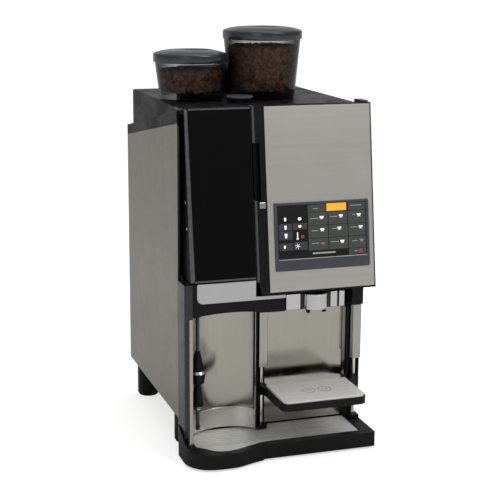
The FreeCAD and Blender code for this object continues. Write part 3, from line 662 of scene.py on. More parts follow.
def geometry_tree(name, inputs):
    """A tree that takes a base mesh, inputs of its own and a material."""
    geometry = ("Geometry", "NodeSocketGeometry", None)
    material = ("Material", "NodeSocketMaterial", None)
    return group(name, "GeometryNodeTree", [geometry] + inputs + [material], [geometry[:2]])


def close_tree(tree, start, end, instances):
    """Realizes the instances, smooths them and sets their material."""
    real = node(tree, "GeometryNodeRealizeInstances", {"Geometry": instances})
    smooth = node(tree, "GeometryNodeSetShadeSmooth", {"Geometry": real.outputs[0]})
    painted = node(tree, "GeometryNodeSetMaterial", {"Geometry": smooth.outputs[0],
                                                     "Material": start.outputs["Material"]})
    tree.links.new(painted.outputs[0], end.inputs["Geometry"])
    return tree


def bean_heap_tree():
    """Beans scattered over the heap's surface, each turned and toned at random."""
    tree, start, end = geometry_tree("bean_heap", [("Length", FLOAT, 0.009), ("Spacing", FLOAT, 0.005),
                                                   ("Seed", "NodeSocketInt", 0)])
    points = node(tree, "GeometryNodeDistributePointsOnFaces",
                  {"Mesh": start.outputs["Geometry"], "Distance Min": start.outputs["Spacing"],
                   "Density Max": 90000.0, "Seed": start.outputs["Seed"]}, distribute_method="POISSON")
    ball = node(tree, "GeometryNodeMeshUVSphere", {"Segments": 10, "Rings": 7, "Radius": 0.5})
    where = node(tree, "GeometryNodeInputPosition")
    split = node(tree, "ShaderNodeSeparateXYZ", {0: where.outputs[0]})
    across = node(tree, "ShaderNodeMath", {0: split.outputs["Y"]}, operation="ABSOLUTE")
    crease = node(tree, "ShaderNodeMapRange", {"Value": across.outputs[0], "From Min": 0.0, "From Max": 0.16,
                                               "To Min": 0.17, "To Max": 0.0})
    below = node(tree, "ShaderNodeMath", {0: split.outputs["Z"], 1: 0.0}, operation="LESS_THAN")
    flat = node(tree, "ShaderNodeMath", {0: split.outputs["Z"], 1: 0.45}, operation="MULTIPLY")
    dented = node(tree, "ShaderNodeMath", {0: flat.outputs[0], 1: crease.outputs["Result"]}, operation="ADD")
    height = node(tree, "ShaderNodeMix", {0: below.outputs[0], 2: split.outputs["Z"], 3: dented.outputs[0]})
    shaped = node(tree, "ShaderNodeCombineXYZ", {"X": split.outputs["X"], "Y": split.outputs["Y"],
                                                 "Z": height.outputs[0]})
    slim = node(tree, "ShaderNodeVectorMath", {0: shaped.outputs[0], 1: (1.0, 0.74, 0.62)},
                operation="MULTIPLY")
    bean = node(tree, "GeometryNodeSetPosition", {"Geometry": ball.outputs["Mesh"],
                                                  "Position": slim.outputs[0]})
    turn = node(tree, "FunctionNodeRandomValue", {"Min": (0, 0, 0), "Max": (math.tau,) * 3,
                                                  "Seed": start.outputs["Seed"]}, data_type="FLOAT_VECTOR")
    grow = node(tree, "FunctionNodeRandomValue", {2: 0.85, 3: 1.08, "Seed": 7}, data_type="FLOAT")
    size = node(tree, "ShaderNodeMath", {0: grow.outputs[1], 1: start.outputs["Length"]},
                operation="MULTIPLY")
    placed_beans = node(tree, "GeometryNodeInstanceOnPoints",
                        {"Points": points.outputs["Points"], "Instance": bean.outputs[0],
                         "Rotation": turn.outputs[0], "Scale": size.outputs[0]})
    tone = node(tree, "FunctionNodeRandomValue", {2: 0.0, 3: 1.0, "Seed": 3}, data_type="FLOAT")
    toned = node(tree, "GeometryNodeStoreNamedAttribute",
                 {"Geometry": placed_beans.outputs[0], "Name": "roast", "Value": tone.outputs[1]},
                 data_type="FLOAT", domain="INSTANCE")
    return close_tree(tree, start, end, toned.outputs[0])


def screw_head_tree():
    """Domed heads with a cross recess, one on each point of the base mesh."""
    tree, start, end = geometry_tree("screw_heads", [("Diameter", FLOAT, 0.008), ("Height", FLOAT, 0.002),
                                                     ("Facing", "NodeSocketVector", (0, 0, 0))])
    ball = node(tree, "GeometryNodeMeshUVSphere", {"Segments": 20, "Rings": 10, "Radius": 0.5})
    long_bit = node(tree, "GeometryNodeMeshCube", {"Size": (0.56, 0.12, 0.5)})
    cross_bit = node(tree, "GeometryNodeMeshCube", {"Size": (0.12, 0.56, 0.5)})
    bits = node(tree, "GeometryNodeJoinGeometry")
    tree.links.new(long_bit.outputs["Mesh"], bits.inputs[0])
    tree.links.new(cross_bit.outputs["Mesh"], bits.inputs[0])
    raised = node(tree, "GeometryNodeTransform", {"Geometry": bits.outputs[0], "Translation": (0, 0, 0.55)})
    head = node(tree, "GeometryNodeMeshBoolean", {"Mesh 1": ball.outputs["Mesh"],
                                                  "Mesh 2": raised.outputs[0]},
                operation="DIFFERENCE")
    double = node(tree, "ShaderNodeMath", {0: start.outputs["Height"], 1: 2.0}, operation="MULTIPLY")
    size = node(tree, "ShaderNodeCombineXYZ", {"X": start.outputs["Diameter"], "Y": start.outputs["Diameter"],
                                               "Z": double.outputs[0]})
    heads = node(tree, "GeometryNodeInstanceOnPoints",
                 {"Points": start.outputs["Geometry"], "Instance": head.outputs[0],
                  "Rotation": start.outputs["Facing"], "Scale": size.outputs[0]})
    return close_tree(tree, start, end, heads.outputs[0])


def bar_row_tree():
    """Rounded bars, one on each point of the base mesh."""
    tree, start, end = geometry_tree("bar_row", [("Length", FLOAT, 0.1), ("Width", FLOAT, 0.002),
                                                 ("Facing", "NodeSocketVector", (0, 0, 0))])
    bar = node(tree, "GeometryNodeMeshCylinder", {"Vertices": 12, "Radius": 0.5, "Depth": 1.0})
    size = node(tree, "ShaderNodeCombineXYZ", {"X": start.outputs["Width"], "Y": start.outputs["Width"],
                                               "Z": start.outputs["Length"]})
    bars = node(tree, "GeometryNodeInstanceOnPoints",
                {"Points": start.outputs["Geometry"], "Instance": bar.outputs["Mesh"],
                 "Rotation": start.outputs["Facing"], "Scale": size.outputs[0]})
    return close_tree(tree, start, end, bars.outputs[0])


def point_mesh(name, points):
    mesh = bpy.data.meshes.new(name)
    mesh.from_pydata([tuple(p) for p in points], [], [])
    return mesh


def screws(name, points, diameter, height, facing, body, slot, replaces=()):
    tree = bpy.data.node_groups.get("screw_heads") or screw_head_tree()
    mesh = grown(name, tree, point_mesh(name + "_points", points),
                 {"Diameter": diameter, "Height": height, "Facing": facing, "Material": finish(slot)})
    mesh.set_sharp_from_angle(angle=math.radians(40))
    return settle(name, mesh, body, slot, replaces=replaces)


# ---------------------------------------------------------------- places on the leaning doors
SKIN_LOW, SKIN_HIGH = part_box("steel_door_skin")
SKIN_THICKNESS = 1 * MM
DOOR_SLOPE = (SKIN_HIGH.y - SKIN_LOW.y - SKIN_THICKNESS) / (SKIN_HIGH.z - SKIN_LOW.z)


def door_point(x, z, proud):
    """A point in front of the doors' shared leaning plane, by the given distance."""
    skin_back = SKIN_HIGH.y - (SKIN_HIGH.z - z) * DOOR_SLOPE
    return Vector((x, skin_back - proud, z))


def screen_place(lift):
    """Maps u, v from 0 to 1 over the glass, v down, to points in front of it."""
    low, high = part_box("screen_glass")
    thickness = (high.y - low.y) - DOOR_SLOPE * (high.z - low.z)
    face = door_point(0, high.z, 0).y - (high.y - thickness)

    def place(u, v, out):
        return door_point(low.x + u * (high.x - low.x), high.z - v * (high.z - low.z), face + lift + out)

    return place


# ---------------------------------------------------------------- operators
class MachineOperator:
    """What every operator of the machine shares."""

    bl_options = {"REGISTER", "UNDO"}

    def execute(self, context):
        self.make()
        return {"FINISHED"}


class MACHINE_OT_stage(MachineOperator, bpy.types.Operator):
    """Floor, backdrop, soft lights and the camera."""

    bl_idname = "machine.stage"
    bl_label = "Stage"

    def make(self):
        self.floor()
        self.lights()
        self.camera()

    def floor(self):
        """A pale floor that curves up into a backdrop."""
        half, depth, bend, rise = 6.0, 4.0, 2.0, 5.0
        line = [(-depth, 0.0)] + [(depth + bend * math.sin(a), bend * (1 - math.cos(a)))
                                  for a in (math.radians(9 * i) for i in range(11))] + [(depth + bend, rise)]
        points = [Vector((x, y, z)) for x in (-half, half) for y, z in line]
        count = len(line)
        faces = [(i, count + i, count + i + 1, i + 1) for i in range(count - 1)]
        floor = bpy.data.objects.new("pale_floor", mesh_from("pale_floor", points, faces))
        bpy.context.scene.collection.objects.link(floor)
        material, tree, shader, place = blank("floor_paper")
        paper = node(tree, "ShaderNodeTexNoise", {"Vector": place, "Scale": 3.0, "Detail": 3.0})
        tone = node(tree, "ShaderNodeMix", {0: paper.outputs["Fac"], 6: (0.93, 0.93, 0.93, 1),
                                            7: (0.96, 0.96, 0.96, 1)}, data_type="RGBA")
        tree.links.new(tone.outputs[2], shader.inputs["Base Color"])
        shader.inputs["Roughness"].default_value = 0.9
        seen = node(tree, "ShaderNodeLightPath")
        lift = node(tree, "ShaderNodeMath", {0: seen.outputs["Is Camera Ray"], 1: 0.62}, operation="MULTIPLY")
        shader.inputs["Emission Color"].default_value = (1.0, 1.0, 1.0, 1.0)
        tree.links.new(lift.outputs[0], shader.inputs["Emission Strength"])
        floor.data.materials.append(material)

    def lights(self):
        world = bpy.data.worlds.new("studio")
        bpy.context.scene.world = world
        world.use_nodes = True
        tree = world.node_tree
        sky = tree.nodes["Background"]
        ahead = node(tree, "ShaderNodeTexCoord")
        split = node(tree, "ShaderNodeSeparateXYZ", {0: ahead.outputs["Generated"]})
        height = node(tree, "ShaderNodeMapRange", {"Value": split.outputs["Z"], "From Min": -0.1,
                                                   "From Max": 0.9, "To Min": 0.27, "To Max": 0.56})
        seen = node(tree, "ShaderNodeLightPath")
        level = node(tree, "ShaderNodeMix", {0: seen.outputs["Is Camera Ray"], 2: height.outputs["Result"],
                                             3: 1.0})
        sky.inputs["Color"].default_value = (1.0, 1.0, 1.0, 1.0)
        tree.links.new(level.outputs[0], sky.inputs["Strength"])
        bpy.context.scene.view_settings.view_transform = "Standard"
        for name, spot, aim, size, power in (
                ("key", (1.4, -2.3, 2.7), (0, 0, 0.3), 1.6, 26.0),
                ("fill", (-1.7, -2.6, 1.1), (0, 0, 0.4), 1.4, 5.0),
                ("top", (0.2, 0.2, 2.6), (0, 0, 0.5), 1.2, 8.0)):
            light = bpy.data.lights.new(name, "AREA")
            light.size = size
            light.energy = power
            lamp = bpy.data.objects.new(name, light)
            lamp.location = spot
            lamp.rotation_euler = (Vector(aim) - Vector(spot)).to_track_quat("-Z", "Y").to_euler()
            bpy.context.scene.collection.objects.link(lamp)

    def camera(self):
        yaw, pitch, roll = math.radians(18.11), math.radians(12.63), math.radians(0.339)
        ahead = Vector((math.sin(yaw) * math.cos(pitch), math.cos(yaw) * math.cos(pitch), -math.sin(pitch)))
        level = Vector((math.cos(yaw), -math.sin(yaw), 0))
        over = level.cross(ahead)
        right = math.cos(roll) * level + math.sin(roll) * over
        top = math.cos(roll) * over - math.sin(roll) * level
        lens = bpy.data.cameras.new("camera")
        lens.sensor_width = 36.0
        lens.lens = 90.19
        lens.shift_x = 0.011
        lens.shift_y = -0.0154
        eye = bpy.data.objects.new("camera", lens)
        place = Matrix.Translation((-0.7730, -2.3263, 0.9293))
        eye.matrix_world = place @ Matrix((right, top, -ahead)).transposed().to_4x4()
        bpy.context.scene.collection.objects.link(eye)
        bpy.context.scene.camera = eye


class MACHINE_OT_casing(MachineOperator, bpy.types.Operator):
    """Side panels, shoulder rails, covers, rear panel and legs."""

    bl_idname = "machine.casing"
    bl_label = "Casing"

    def make(self):
        dress("side_steel", "left_side_panel", "right_side_panel", "rear_panel", "base_pan", edge=0.4 * MM)
        dress("deck_black", "top_cover", "shoulder_rails", "deck_collars", "rear_housing")
        dress("frame_black", "legs", edge=1.2 * MM)
        dress("trim_grey", "chute_cap", edge=0.5 * MM)
        self.rear_screws()

    def rear_screws(self):
        low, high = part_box("rear_panel_screws")
        radius = 4 * MM
        rows = 4
        step = (high.z - low.z - 2 * radius) / (rows - 1)
        points = [(x, low.y, low.z + radius + step * row)
                  for x in (low.x + radius, high.x - radius) for row in range(rows)]
        screws("rear_panel_screw_heads", points, sizes().screw, high.y - low.y, (-math.pi / 2, 0, 0),
               "cabinet", "dark_steel", ["rear_panel_screws"])


class MACHINE_OT_front_frame(MachineOperator, bpy.types.Operator):
    """Front column, bay hood, light panel and the bulkhead behind the doors."""

    bl_idname = "machine.front_frame"
    bl_label = "Front frame"

    def make(self):
        dress("frame_black", "left_front_column", look="column_black")
        dress("frame_black", "bay_hood", "bay_wall", "front_bulkhead", "rail_channels")
        dress("light_grey", "light_panel", edge=0.8 * MM)
        dress("splash_steel", "column_trim", edge=0.5 * MM)


class MACHINE_OT_splashes(MachineOperator, bpy.types.Operator):
    """Splash sheets, rods and rail covers of the brewing bay."""

    bl_idname = "machine.splashes"
    bl_label = "Splashes and rails"

    def make(self):
        dress("splash_steel", "splash_shield", "rear_splash", "rail_covers", edge=0.3 * MM)
        dress("polished_steel", "splash_base", "rail_rods", edge=0.5 * MM)


class MACHINE_OT_doors(MachineOperator, bpy.types.Operator):
    """Both doors with their trims, glass, catch and hinges."""

    bl_idname = "machine.doors"
    bl_label = "Doors"

    def make(self):
        dress("frame_black", "steel_door_frame", "black_door_frame", edge=0.8 * MM)
        dress("door_steel", "steel_door_skin", edge=0.3 * MM)
        dress("trim_grey", "centre_trim", "black_door_trims", edge=0.6 * MM)
        dress("gloss_black", "black_door_glass", edge=0.5 * MM)
        dress("chrome", "door_catch", edge=0.8 * MM)
        dress("dark_steel", "door_hinges", edge=0.4 * MM)
        self.side_screws()

    def side_screws(self):
        """Two bright screw heads in the black door's left wall."""
        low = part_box("black_door_trims")[0]
        points = [(low.x, door_point(low.x, low.z + rise, 0).y + depth, low.z + rise)
                  for rise, depth in ((97 * MM, 12 * MM), (144 * MM, 16 * MM))]
        screws("black_door_side_screws", points, 6 * MM, 1.0 * MM, (0, -math.pi / 2, 0), "door_black_body",
               "chrome")


class MACHINE_OT_touch_screen(MachineOperator, bpy.types.Operator):
    """Bezel, glass and the drink tiles shown on it."""

    bl_idname = "machine.touch_screen"
    bl_label = "Touch screen"

    tile_lift = 0.02 * MM
    icon_lift = 0.06 * MM
    tile_depth = 0.05 * MM

    def make(self):
        dress("bezel_grey", "screen_bezel", edge=0.6 * MM)
        dress("screen_glass", "screen_glass", edge=0.3 * MM)
        self.tiles()
        self.drink_icons()
        self.side_icons()
        self.lines()

    def show(self, name, outlines, ink, lift):
        points, faces = prisms(outlines, screen_place(lift), self.tile_depth)
        mesh = facing_out(mesh_from(name, points, faces))
        settle(name, mesh, "door_steel_body", "screen_glass", ink)

    def tiles(self):
        gap = 0.004
        columns = (0.335, 0.565, 0.790, 0.995)
        rows = (0.155, 0.400, 0.640, 0.870)
        tiles = [rectangle(columns[i] + gap, rows[j] + gap, columns[i + 1] - gap, rows[j + 1] - gap)
                 for i in range(3) for j in range(3)]
        tiles += [rectangle(columns[i] + gap, 0.01, columns[i + 1] - gap, rows[0] - gap) for i in (0, 2)]
        tiles.append(rectangle(columns[2] + gap, rows[3] + gap, columns[3] - gap, 0.985))
        self.show("screen_tiles", tiles, "ink_tile", self.tile_lift)
        left = [rectangle(0.01, 0.34, 0.16, 0.47), rectangle(0.01, 0.48, 0.16, 0.64),
                rectangle(0.17, 0.34, 0.325, 0.46), rectangle(0.01, 0.70, 0.16, 0.84),
                rectangle(0.17, 0.69, 0.325, 0.84)]
        self.show("screen_option_tiles", left, "ink_column", self.tile_lift)
        dark = [rectangle(0.005, 0.01, 0.325, 0.33), rectangle(0.17, 0.47, 0.325, 0.68),
                rectangle(0.01, 0.65, 0.16, 0.69), rectangle(0.01, 0.86, 0.785, 0.99)]
        self.show("screen_dark_areas", dark, "ink_dark", self.tile_lift)
        self.show("screen_accent_button", [rectangle(0.552, 0.005, 0.775, 0.145)], "ink_accent",
                  self.icon_lift)

    def cup(self, u, v, size):
        """A bowl seen from the side, with its saucer."""
        rim = v - size * 0.7
        bowl = [(u - size, rim)] + ellipse(u, rim, size, size * 1.9, 12, math.pi, -math.pi)
        saucer = rectangle(u - size * 0.8, v + size * 1.35, u + size * 0.8, v + size * 1.6)
        return [bowl, saucer]

    def mug(self, u, v, size):
        """A straight mug, a little narrower at its foot."""
        rim, foot = v - size * 1.6, v + size * 1.6
        return [(u - size * 0.6, rim), (u + size * 0.6, rim),
                (u + size * 0.45, foot), (u - size * 0.45, foot)]

    def star_arm(self, angle):
        """One bar of the star icon, turned about the star's middle."""
        u, v, long_u, long_v, slim_u, slim_v = 0.215, 0.765, 0.030, 0.055, 0.002, 0.004
        cosine, sine = math.cos(angle), math.sin(angle)
        return [(u + along * long_u * cosine + side * slim_u * sine,
                 v + along * long_v * sine - side * slim_v * cosine)
                for along, side in ((1, -1), (-1, -1), (-1, 1), (1, 1))]

    def drink_icons(self):
        size = 0.024
        white = [(0.492, 0.25), (0.712, 0.24), (0.918, 0.24), (0.496, 0.48), (0.69, 0.47), (0.935, 0.47),
                 (0.72, 0.72)]
        self.show("screen_drink_icons", sum((self.cup(u, v, size) for u, v in white), []), "ink_white",
                  self.icon_lift)
        self.show("screen_cocoa_icon", self.cup(0.5, 0.74, size), "ink_brown", self.icon_lift)
        self.show("screen_water_icon", self.cup(0.942, 0.72, size), "ink_blue", self.icon_lift)
        self.show("screen_stop_icon", [ellipse(0.93, 0.925, 0.022, 0.036)], "ink_red", self.icon_lift)

    def side_icons(self):
        icons = [self.mug(0.083, 0.26, 0.02), self.mug(0.085, 0.41, 0.022), self.mug(0.088, 0.565, 0.026),
                 ellipse(0.245, 0.26, 0.02, 0.03), ellipse(0.245, 0.40, 0.018, 0.024),
                 self.mug(0.07, 0.77, 0.018), rectangle(0.21, 0.51, 0.222, 0.62),
                 ellipse(0.216, 0.63, 0.012, 0.018)]
        arms = [self.star_arm(0.3 + turn * math.pi / 3) for turn in range(3)]
        self.show("screen_option_icons", icons + arms, "ink_white", self.icon_lift)
        self.show("screen_heat_mark", [rectangle(0.255, 0.57, 0.29, 0.62)], "ink_red", self.icon_lift)

    def lines(self):
        """Plain strokes beside the icons, and a glowing strip along the glass's lower edge, which is a
        painted highlight.
        """
        strokes = [(0.36, 0.455, 0.27), (0.375, 0.45, 0.50), (0.375, 0.455, 0.735), (0.59, 0.67, 0.255),
                   (0.61, 0.655, 0.48), (0.59, 0.68, 0.725), (0.845, 0.875, 0.24), (0.82, 0.895, 0.475),
                   (0.83, 0.895, 0.735), (0.855, 0.895, 0.925), (0.82, 0.95, 0.065), (0.40, 0.45, 0.09)]
        outlines = [rectangle(u0, v - 0.006, u1, v + 0.006) for u0, u1, v in strokes]
        outlines.append(rectangle(0.38, 0.905, 0.64, 0.935))
        self.show("screen_caption_strokes", outlines, "ink_line", self.icon_lift)
        # The strip under the glass glows with the line ink: a painted highlight along the bezel's edge.
        points, faces = prisms([rectangle(0.0, 1.0, 1.0, 1.014)], screen_place(0.0), 0.3 * MM)
        edge_highlight = facing_out(mesh_from("screen_lower_seal", points, faces))
        settle("screen_lower_seal", edge_highlight, "door_steel_body", "bezel_grey", "ink_line")


class MACHINE_OT_spout(MachineOperator, bpy.types.Operator):
    """Spout head with its grooves and nozzles."""

    bl_idname = "machine.spout"
    bl_label = "Spout"

    def make(self):
        dress("chrome", "spout_cover", edge=1.5 * MM)
        dress("frame_black", "spout_nozzles", edge=0.5 * MM)
        self.groove_shade_strips()

    def groove_shade_strips(self):
        """Black strips that fill the cover's three grooves: painted shade that darkens them."""
        low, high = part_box("spout_cover")
        middle = (low.x + high.x) / 2
        setback, depth, margin, radius = 18.5 * MM, 8 * MM, 0.5 * MM, 0.5 * MM
        front = low.y + setback
        for number, (offset, half) in enumerate(((-27, 3.4), (27, 3.4), (46, 1.9)), 1):
            x = middle + offset * MM
            name = f"spout_seal_{number}"
            block = rounded_block(name, Vector((x - half * MM, front, low.z + margin)),
                                  Vector((x + half * MM, front + depth, high.z - margin)), radius)
            settle(name, block, "cabinet", "frame_black", "groove_black")


class MACHINE_OT_cup_shelf(MachineOperator, bpy.types.Operator):
    """Height-adjustable cup shelf with its marked plate."""

    bl_idname = "machine.cup_shelf"
    bl_label = "Cup shelf"

    def make(self):
        dress("frame_black", "shelf_carriage", edge=1.5 * MM)
        dress("plate_steel", "shelf_plate", edge=0.5 * MM)
        self.cup_marks()

    def cup_marks(self):
        """Two pressed rings under the nozzles, each with a smaller ring inside."""
        low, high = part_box("shelf_plate")
        nozzle_low, nozzle_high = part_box("spout_nozzles")
        middle = (low.y + high.y) / 2
        nozzle_radius, sunk, raised, count = 5 * MM, -0.1, 0.12, 48
        points, faces = [], []
        for x in (nozzle_low.x + nozzle_radius, nozzle_high.x - nozzle_radius):
            for radius, width in ((12.0, 0.8), (4.2, 0.7)):
                rings = [[Vector((x + r * MM * math.cos(a), middle + r * MM * math.sin(a),
                                  high.z + lift * MM))
                          for a in (math.tau * i / count for i in range(count))]
                         for r, lift in ((radius, sunk), (radius, raised), (radius + width, raised),
                                         (radius + width, sunk), (radius, sunk))]
                ring_points, ring_faces = ringed(rings, False, False)
                faces += [tuple(i + len(points) for i in face) for face in ring_faces]
                points += ring_points
        mesh = mesh_from("shelf_cup_marks", points, faces)
        work = bmesh.new()
        work.from_mesh(mesh)
        bmesh.ops.remove_doubles(work, verts=work.verts, dist=0.001 * MM)
        work.to_mesh(mesh)
        work.free()
        settle("shelf_cup_marks", facing_out(mesh), "cup_shelf", "plate_steel", "dark_steel")


class MACHINE_OT_drip_tray(MachineOperator, bpy.types.Operator):
    """Drip tray and its grate."""

    bl_idname = "machine.drip_tray"
    bl_label = "Drip tray"

    def make(self):
        dress("frame_black", "drip_tray", edge=1.2 * MM)
        dress("plate_steel", "tray_grate", edge=0.3 * MM)
        self.ribs()

    def ribs(self):
        """Drain ribs on the strip left of the grate."""
        low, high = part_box("drip_tray")
        count, length, width = 4, 50 * MM, 1.8 * MM
        first, middle, top = low.x + 9 * MM, high.y - 79 * MM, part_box("tray_grate")[1].z + 3.5 * MM
        points = [(first + row * sizes().rib_pitch, middle, top) for row in range(count)]
        tree = bpy.data.node_groups.get("bar_row") or bar_row_tree()
        mesh = grown("tray_ribs", tree, point_mesh("tray_ribs_points", points),
                     {"Length": length, "Width": width, "Facing": (math.pi / 2, 0, 0),
                      "Material": finish("frame_black")})
        mesh.set_sharp_from_angle(angle=math.radians(40))
        settle("tray_ribs", mesh, "tray", "frame_black")


class Hopper:
    """Plan sizes of one bean hopper, read from its frame node.  Side is the way to the other hopper."""

    def __init__(self, name, side):
        self.name = name
        self.side = side
        low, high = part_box(name + "_hopper")
        self.radius = (high.y - low.y) / 2
        x = low.x + self.radius if side > 0 else high.x - self.radius
        self.centre = Vector((x, (low.y + high.y) / 2, 0))
        self.flat = (high.x - x) if side > 0 else (x - low.x)
        self.top = high.z
        lid_low, lid_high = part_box(name + "_hopper_lid")
        self.lid_radius = (lid_high.y - lid_low.y) / 2
        self.lid_flat = (lid_high.x - x) if side > 0 else (x - lid_low.x)
        self.lid_low, self.lid_high = lid_low.z, lid_high.z
        self.bean_low, self.bean_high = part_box(name + "_beans")

    def ring(self, radius, flat, z, count=120):
        """A round outline cut flat towards the other hopper, with the corners eased."""
        ring = []
        power = 28
        for i in range(count):
            angle = math.tau * i / count
            along = math.cos(angle) * self.side
            reach = radius
            if along > 0.2:
                reach = (radius ** -power + (flat / along) ** -power) ** (-1 / power)
            ring.append(self.centre + Vector((math.cos(angle) * reach, math.sin(angle) * reach, z)))
        return ring


def both_hoppers():
    return (Hopper("left", 1), Hopper("right", -1))


class MACHINE_OT_hoppers(MachineOperator, bpy.types.Operator):
    """Clear hoppers, their lids and the beans inside."""

    bl_idname = "machine.hoppers"
    bl_label = "Hoppers"

    def make(self):
        for hopper in both_hoppers():
            self.shell(hopper)
            self.lid(hopper)
            self.beans(hopper)

    def shell(self, hopper):
        dress("smoke_clear", hopper.name + "_hopper", edge=0.8 * MM)

    def lid(self, hopper):
        """Satin lid: skirt, rolled rim, sloping crown and a dished oval near its middle."""
        radius, flat = hopper.lid_radius, hopper.lid_flat
        low, high = hopper.lid_low, hopper.lid_high
        ceiling = low + 9 * MM
        wall, roll = 13, 5.0
        profile = [(4.0, ceiling), (4.0, low + 1 * MM), (3.2, low), (0.8, low), (0.0, low + 1 * MM),
                   (0.0, low + wall * MM)]
        for i in range(1, 7):
            angle = math.radians(15 * i)
            profile.append((roll * (1 - math.cos(angle)), low + (wall + roll * math.sin(angle)) * MM))
        shoulder = profile[-1]
        rings = [hopper.ring(radius - inset * MM, flat - inset * MM, z) for inset, z in profile]
        steps = 16
        start_radius, start_flat = radius - shoulder[0] * MM, flat - shoulder[0] * MM
        for i in range(1, steps):
            share = 1 - i / steps
            rings.append(hopper.ring(start_radius * share, start_flat * share,
                                     self.crown(share, shoulder[1], high)))
        oval = hopper.centre + Vector((10 * MM, -4 * MM, 0))
        half_length, half_width, depth = 30 * MM, 20 * MM, 4.5 * MM
        for one in rings[len(profile):]:
            for point in one:
                away = math.hypot((point.x - oval.x) / half_length, (point.y - oval.y) / half_width)
                point.z -= depth * max(0.0, 1 - away ** 4)
        points, faces = ringed(rings)
        name = hopper.name + "_lid_finished"
        settle(name, facing_out(mesh_from(name, points, faces, 60)), "lid_" + hopper.name, "lid_charcoal",
               replaces=[hopper.name + "_hopper_lid"])
        self.label(hopper, start_radius, shoulder[1], high)

    def crown(self, share, foot, high):
        """Height of the lid's nearly flat top at a share of its radius."""
        return foot + (high - 0.2 * MM - foot) * (1 - share ** 5)

    def label(self, hopper, radius, foot, high):
        """A plain strip stuck on the crown's back."""
        inner, depth, start, sweep = 0.82, 0.13, 98, 24
        shares = [inner + depth * i / 4 for i in range(5)]
        angles = [math.radians(start + sweep * i / 12) for i in range(13)]
        loops = []
        for lift in (0.05 * MM, 0.4 * MM):
            for share in shares:
                loops.append([hopper.centre + Vector((radius * share * math.cos(a),
                                                      radius * share * math.sin(a),
                                                      self.crown(share, foot, high) + lift)) for a in angles])
        rows, count = len(shares), len(angles)
        points = [p for loop in loops for p in loop]
        faces = []
        for layer in (0, rows):
            for row in range(rows - 1):
                for i in range(count - 1):
                    a = (layer + row) * count + i
                    faces.append((a, a + 1, a + count + 1, a + count))
        rim = list(range(count)) + [row * count + count - 1 for row in range(1, rows)]
        rim += [(rows - 1) * count + i for i in reversed(range(count - 1))]
        rim += [row * count for row in reversed(range(1, rows - 1))]
        for i, a in enumerate(rim):
            b = rim[(i + 1) % len(rim)]
            faces.append((a, b, b + rows * count, a + rows * count))
        name = hopper.name + "_lid_label"
        settle(name, facing_out(mesh_from(name, points, faces)), "lid_" + hopper.name, "lid_charcoal",
               "yellow_label")

    def heap(self, hopper, inset, name):
        """The heap's surface, set in from the hopper's wall."""
        low, high = hopper.bean_low, hopper.bean_high
        top = (high.y - low.y) / 2 - inset
        flat = (high.x - hopper.centre.x if hopper.side > 0 else hopper.centre.x - low.x) - inset
        base = top * 0.9
        bottom, level = low.z + 2 * MM, high.z - 2 * MM
        rings = [hopper.ring(base * share, flat * share, bottom) for share in (0.3, 0.7, 1.0)]
        for i in range(1, 8):
            share = i / 8
            rings.append(hopper.ring(base + (top - base) * share, flat, bottom + (level - bottom) * share))
        rings += [hopper.ring(top * share, flat * share, level) for share in (1.0, 0.7, 0.35)]
        points, faces = ringed(rings)
        return facing_out(mesh_from(name, points, faces))

    def beans(self, hopper):
        tree = bpy.data.node_groups.get("bean_heap") or bean_heap_tree()
        name = hopper.name + "_bean_heap"
        mesh = grown(name, tree, self.heap(hopper, 3.0 * MM, name + "_base"),
                     {"Length": sizes().bean_length, "Spacing": sizes().bean_gap,
                      "Seed": sizes().bean_seed, "Material": finish("coffee_beans")})
        body = "hopper_" + hopper.name
        settle(name, mesh, body, "coffee_beans", replaces=[hopper.name + "_beans"])
        core = name + "_core"
        settle(core, self.heap(hopper, 5.0 * MM, core), body, "coffee_beans")


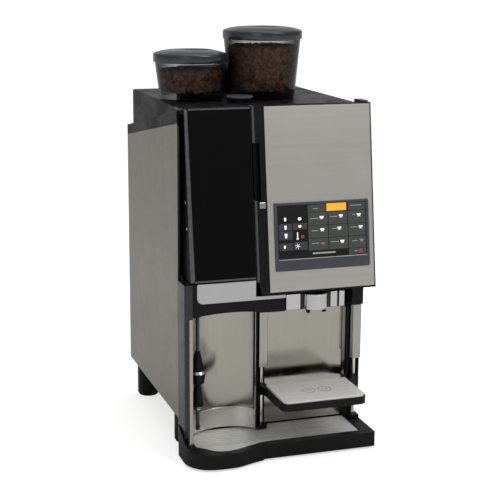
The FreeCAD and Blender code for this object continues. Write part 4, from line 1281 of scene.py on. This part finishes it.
class MACHINE_OT_steam_wand(MachineOperator, bpy.types.Operator):
    """Swinging steam wand with its grip and rings."""

    bl_idname = "machine.steam_wand"
    bl_label = "Steam wand"

    def make(self):
        dress("dark_steel", "steam_wand", edge=0.3 * MM)
        dress("frame_black", "wand_grip", edge=0.5 * MM)
        dress("chrome", "wand_rings", edge=0.3 * MM)


class MACHINE_OT_inside(MachineOperator, bpy.types.Operator):
    """Grinders, brewer, boilers, pump, board and fittings."""

    bl_idname = "machine.inside"
    bl_label = "Inside parts"

    def make(self):
        repaint("side_steel", "frame_posts", "grounds_bin")
        repaint("polished_steel", "brew_piston", "left_burr", "right_burr")
        repaint("frame_black", "brew_chamber", "grinder_housings")
        repaint("motor_metal", "grinder_motors", "water_pump")
        repaint("jacket_grey", "boilers")
        repaint("circuit_board", "control_board")
        repaint("brass", "water_fittings")


PIECE_OPERATORS = (MACHINE_OT_stage, MACHINE_OT_casing, MACHINE_OT_front_frame, MACHINE_OT_splashes,
                   MACHINE_OT_doors, MACHINE_OT_touch_screen, MACHINE_OT_spout, MACHINE_OT_cup_shelf,
                   MACHINE_OT_drip_tray, MACHINE_OT_hoppers, MACHINE_OT_steam_wand, MACHINE_OT_inside)


class MACHINE_PT_sidebar(bpy.types.Panel):
    """Lists the machine's settings and makers."""

    bl_label = "Coffee machine"
    bl_idname = "MACHINE_PT_sidebar"
    bl_space_type = "VIEW_3D"
    bl_region_type = "UI"
    bl_category = "Coffee machine"

    def draw(self, context):
        for settings in (context.scene.machine_colours, context.scene.machine_sizes):
            for name in settings.__annotations__:
                self.layout.prop(settings, name)
        for operator in PIECE_OPERATORS:
            self.layout.operator(operator.bl_idname)


CLASSES = (MachineColours, MachineSizes) + PIECE_OPERATORS + (MACHINE_PT_sidebar,)


def register():
    for one in CLASSES:
        bpy.utils.register_class(one)
    bpy.types.Scene.machine_colours = bpy.props.PointerProperty(type=MachineColours)
    bpy.types.Scene.machine_sizes = bpy.props.PointerProperty(type=MachineSizes)


def unregister():
    del bpy.types.Scene.machine_colours
    del bpy.types.Scene.machine_sizes
    for one in reversed(CLASSES):
        bpy.utils.unregister_class(one)


def main():
    register()
    for operator in PIECE_OPERATORS:
        module, name = operator.bl_idname.split(".")
        getattr(getattr(bpy.ops, module), name)()


if __name__ == "__main__":
    main()
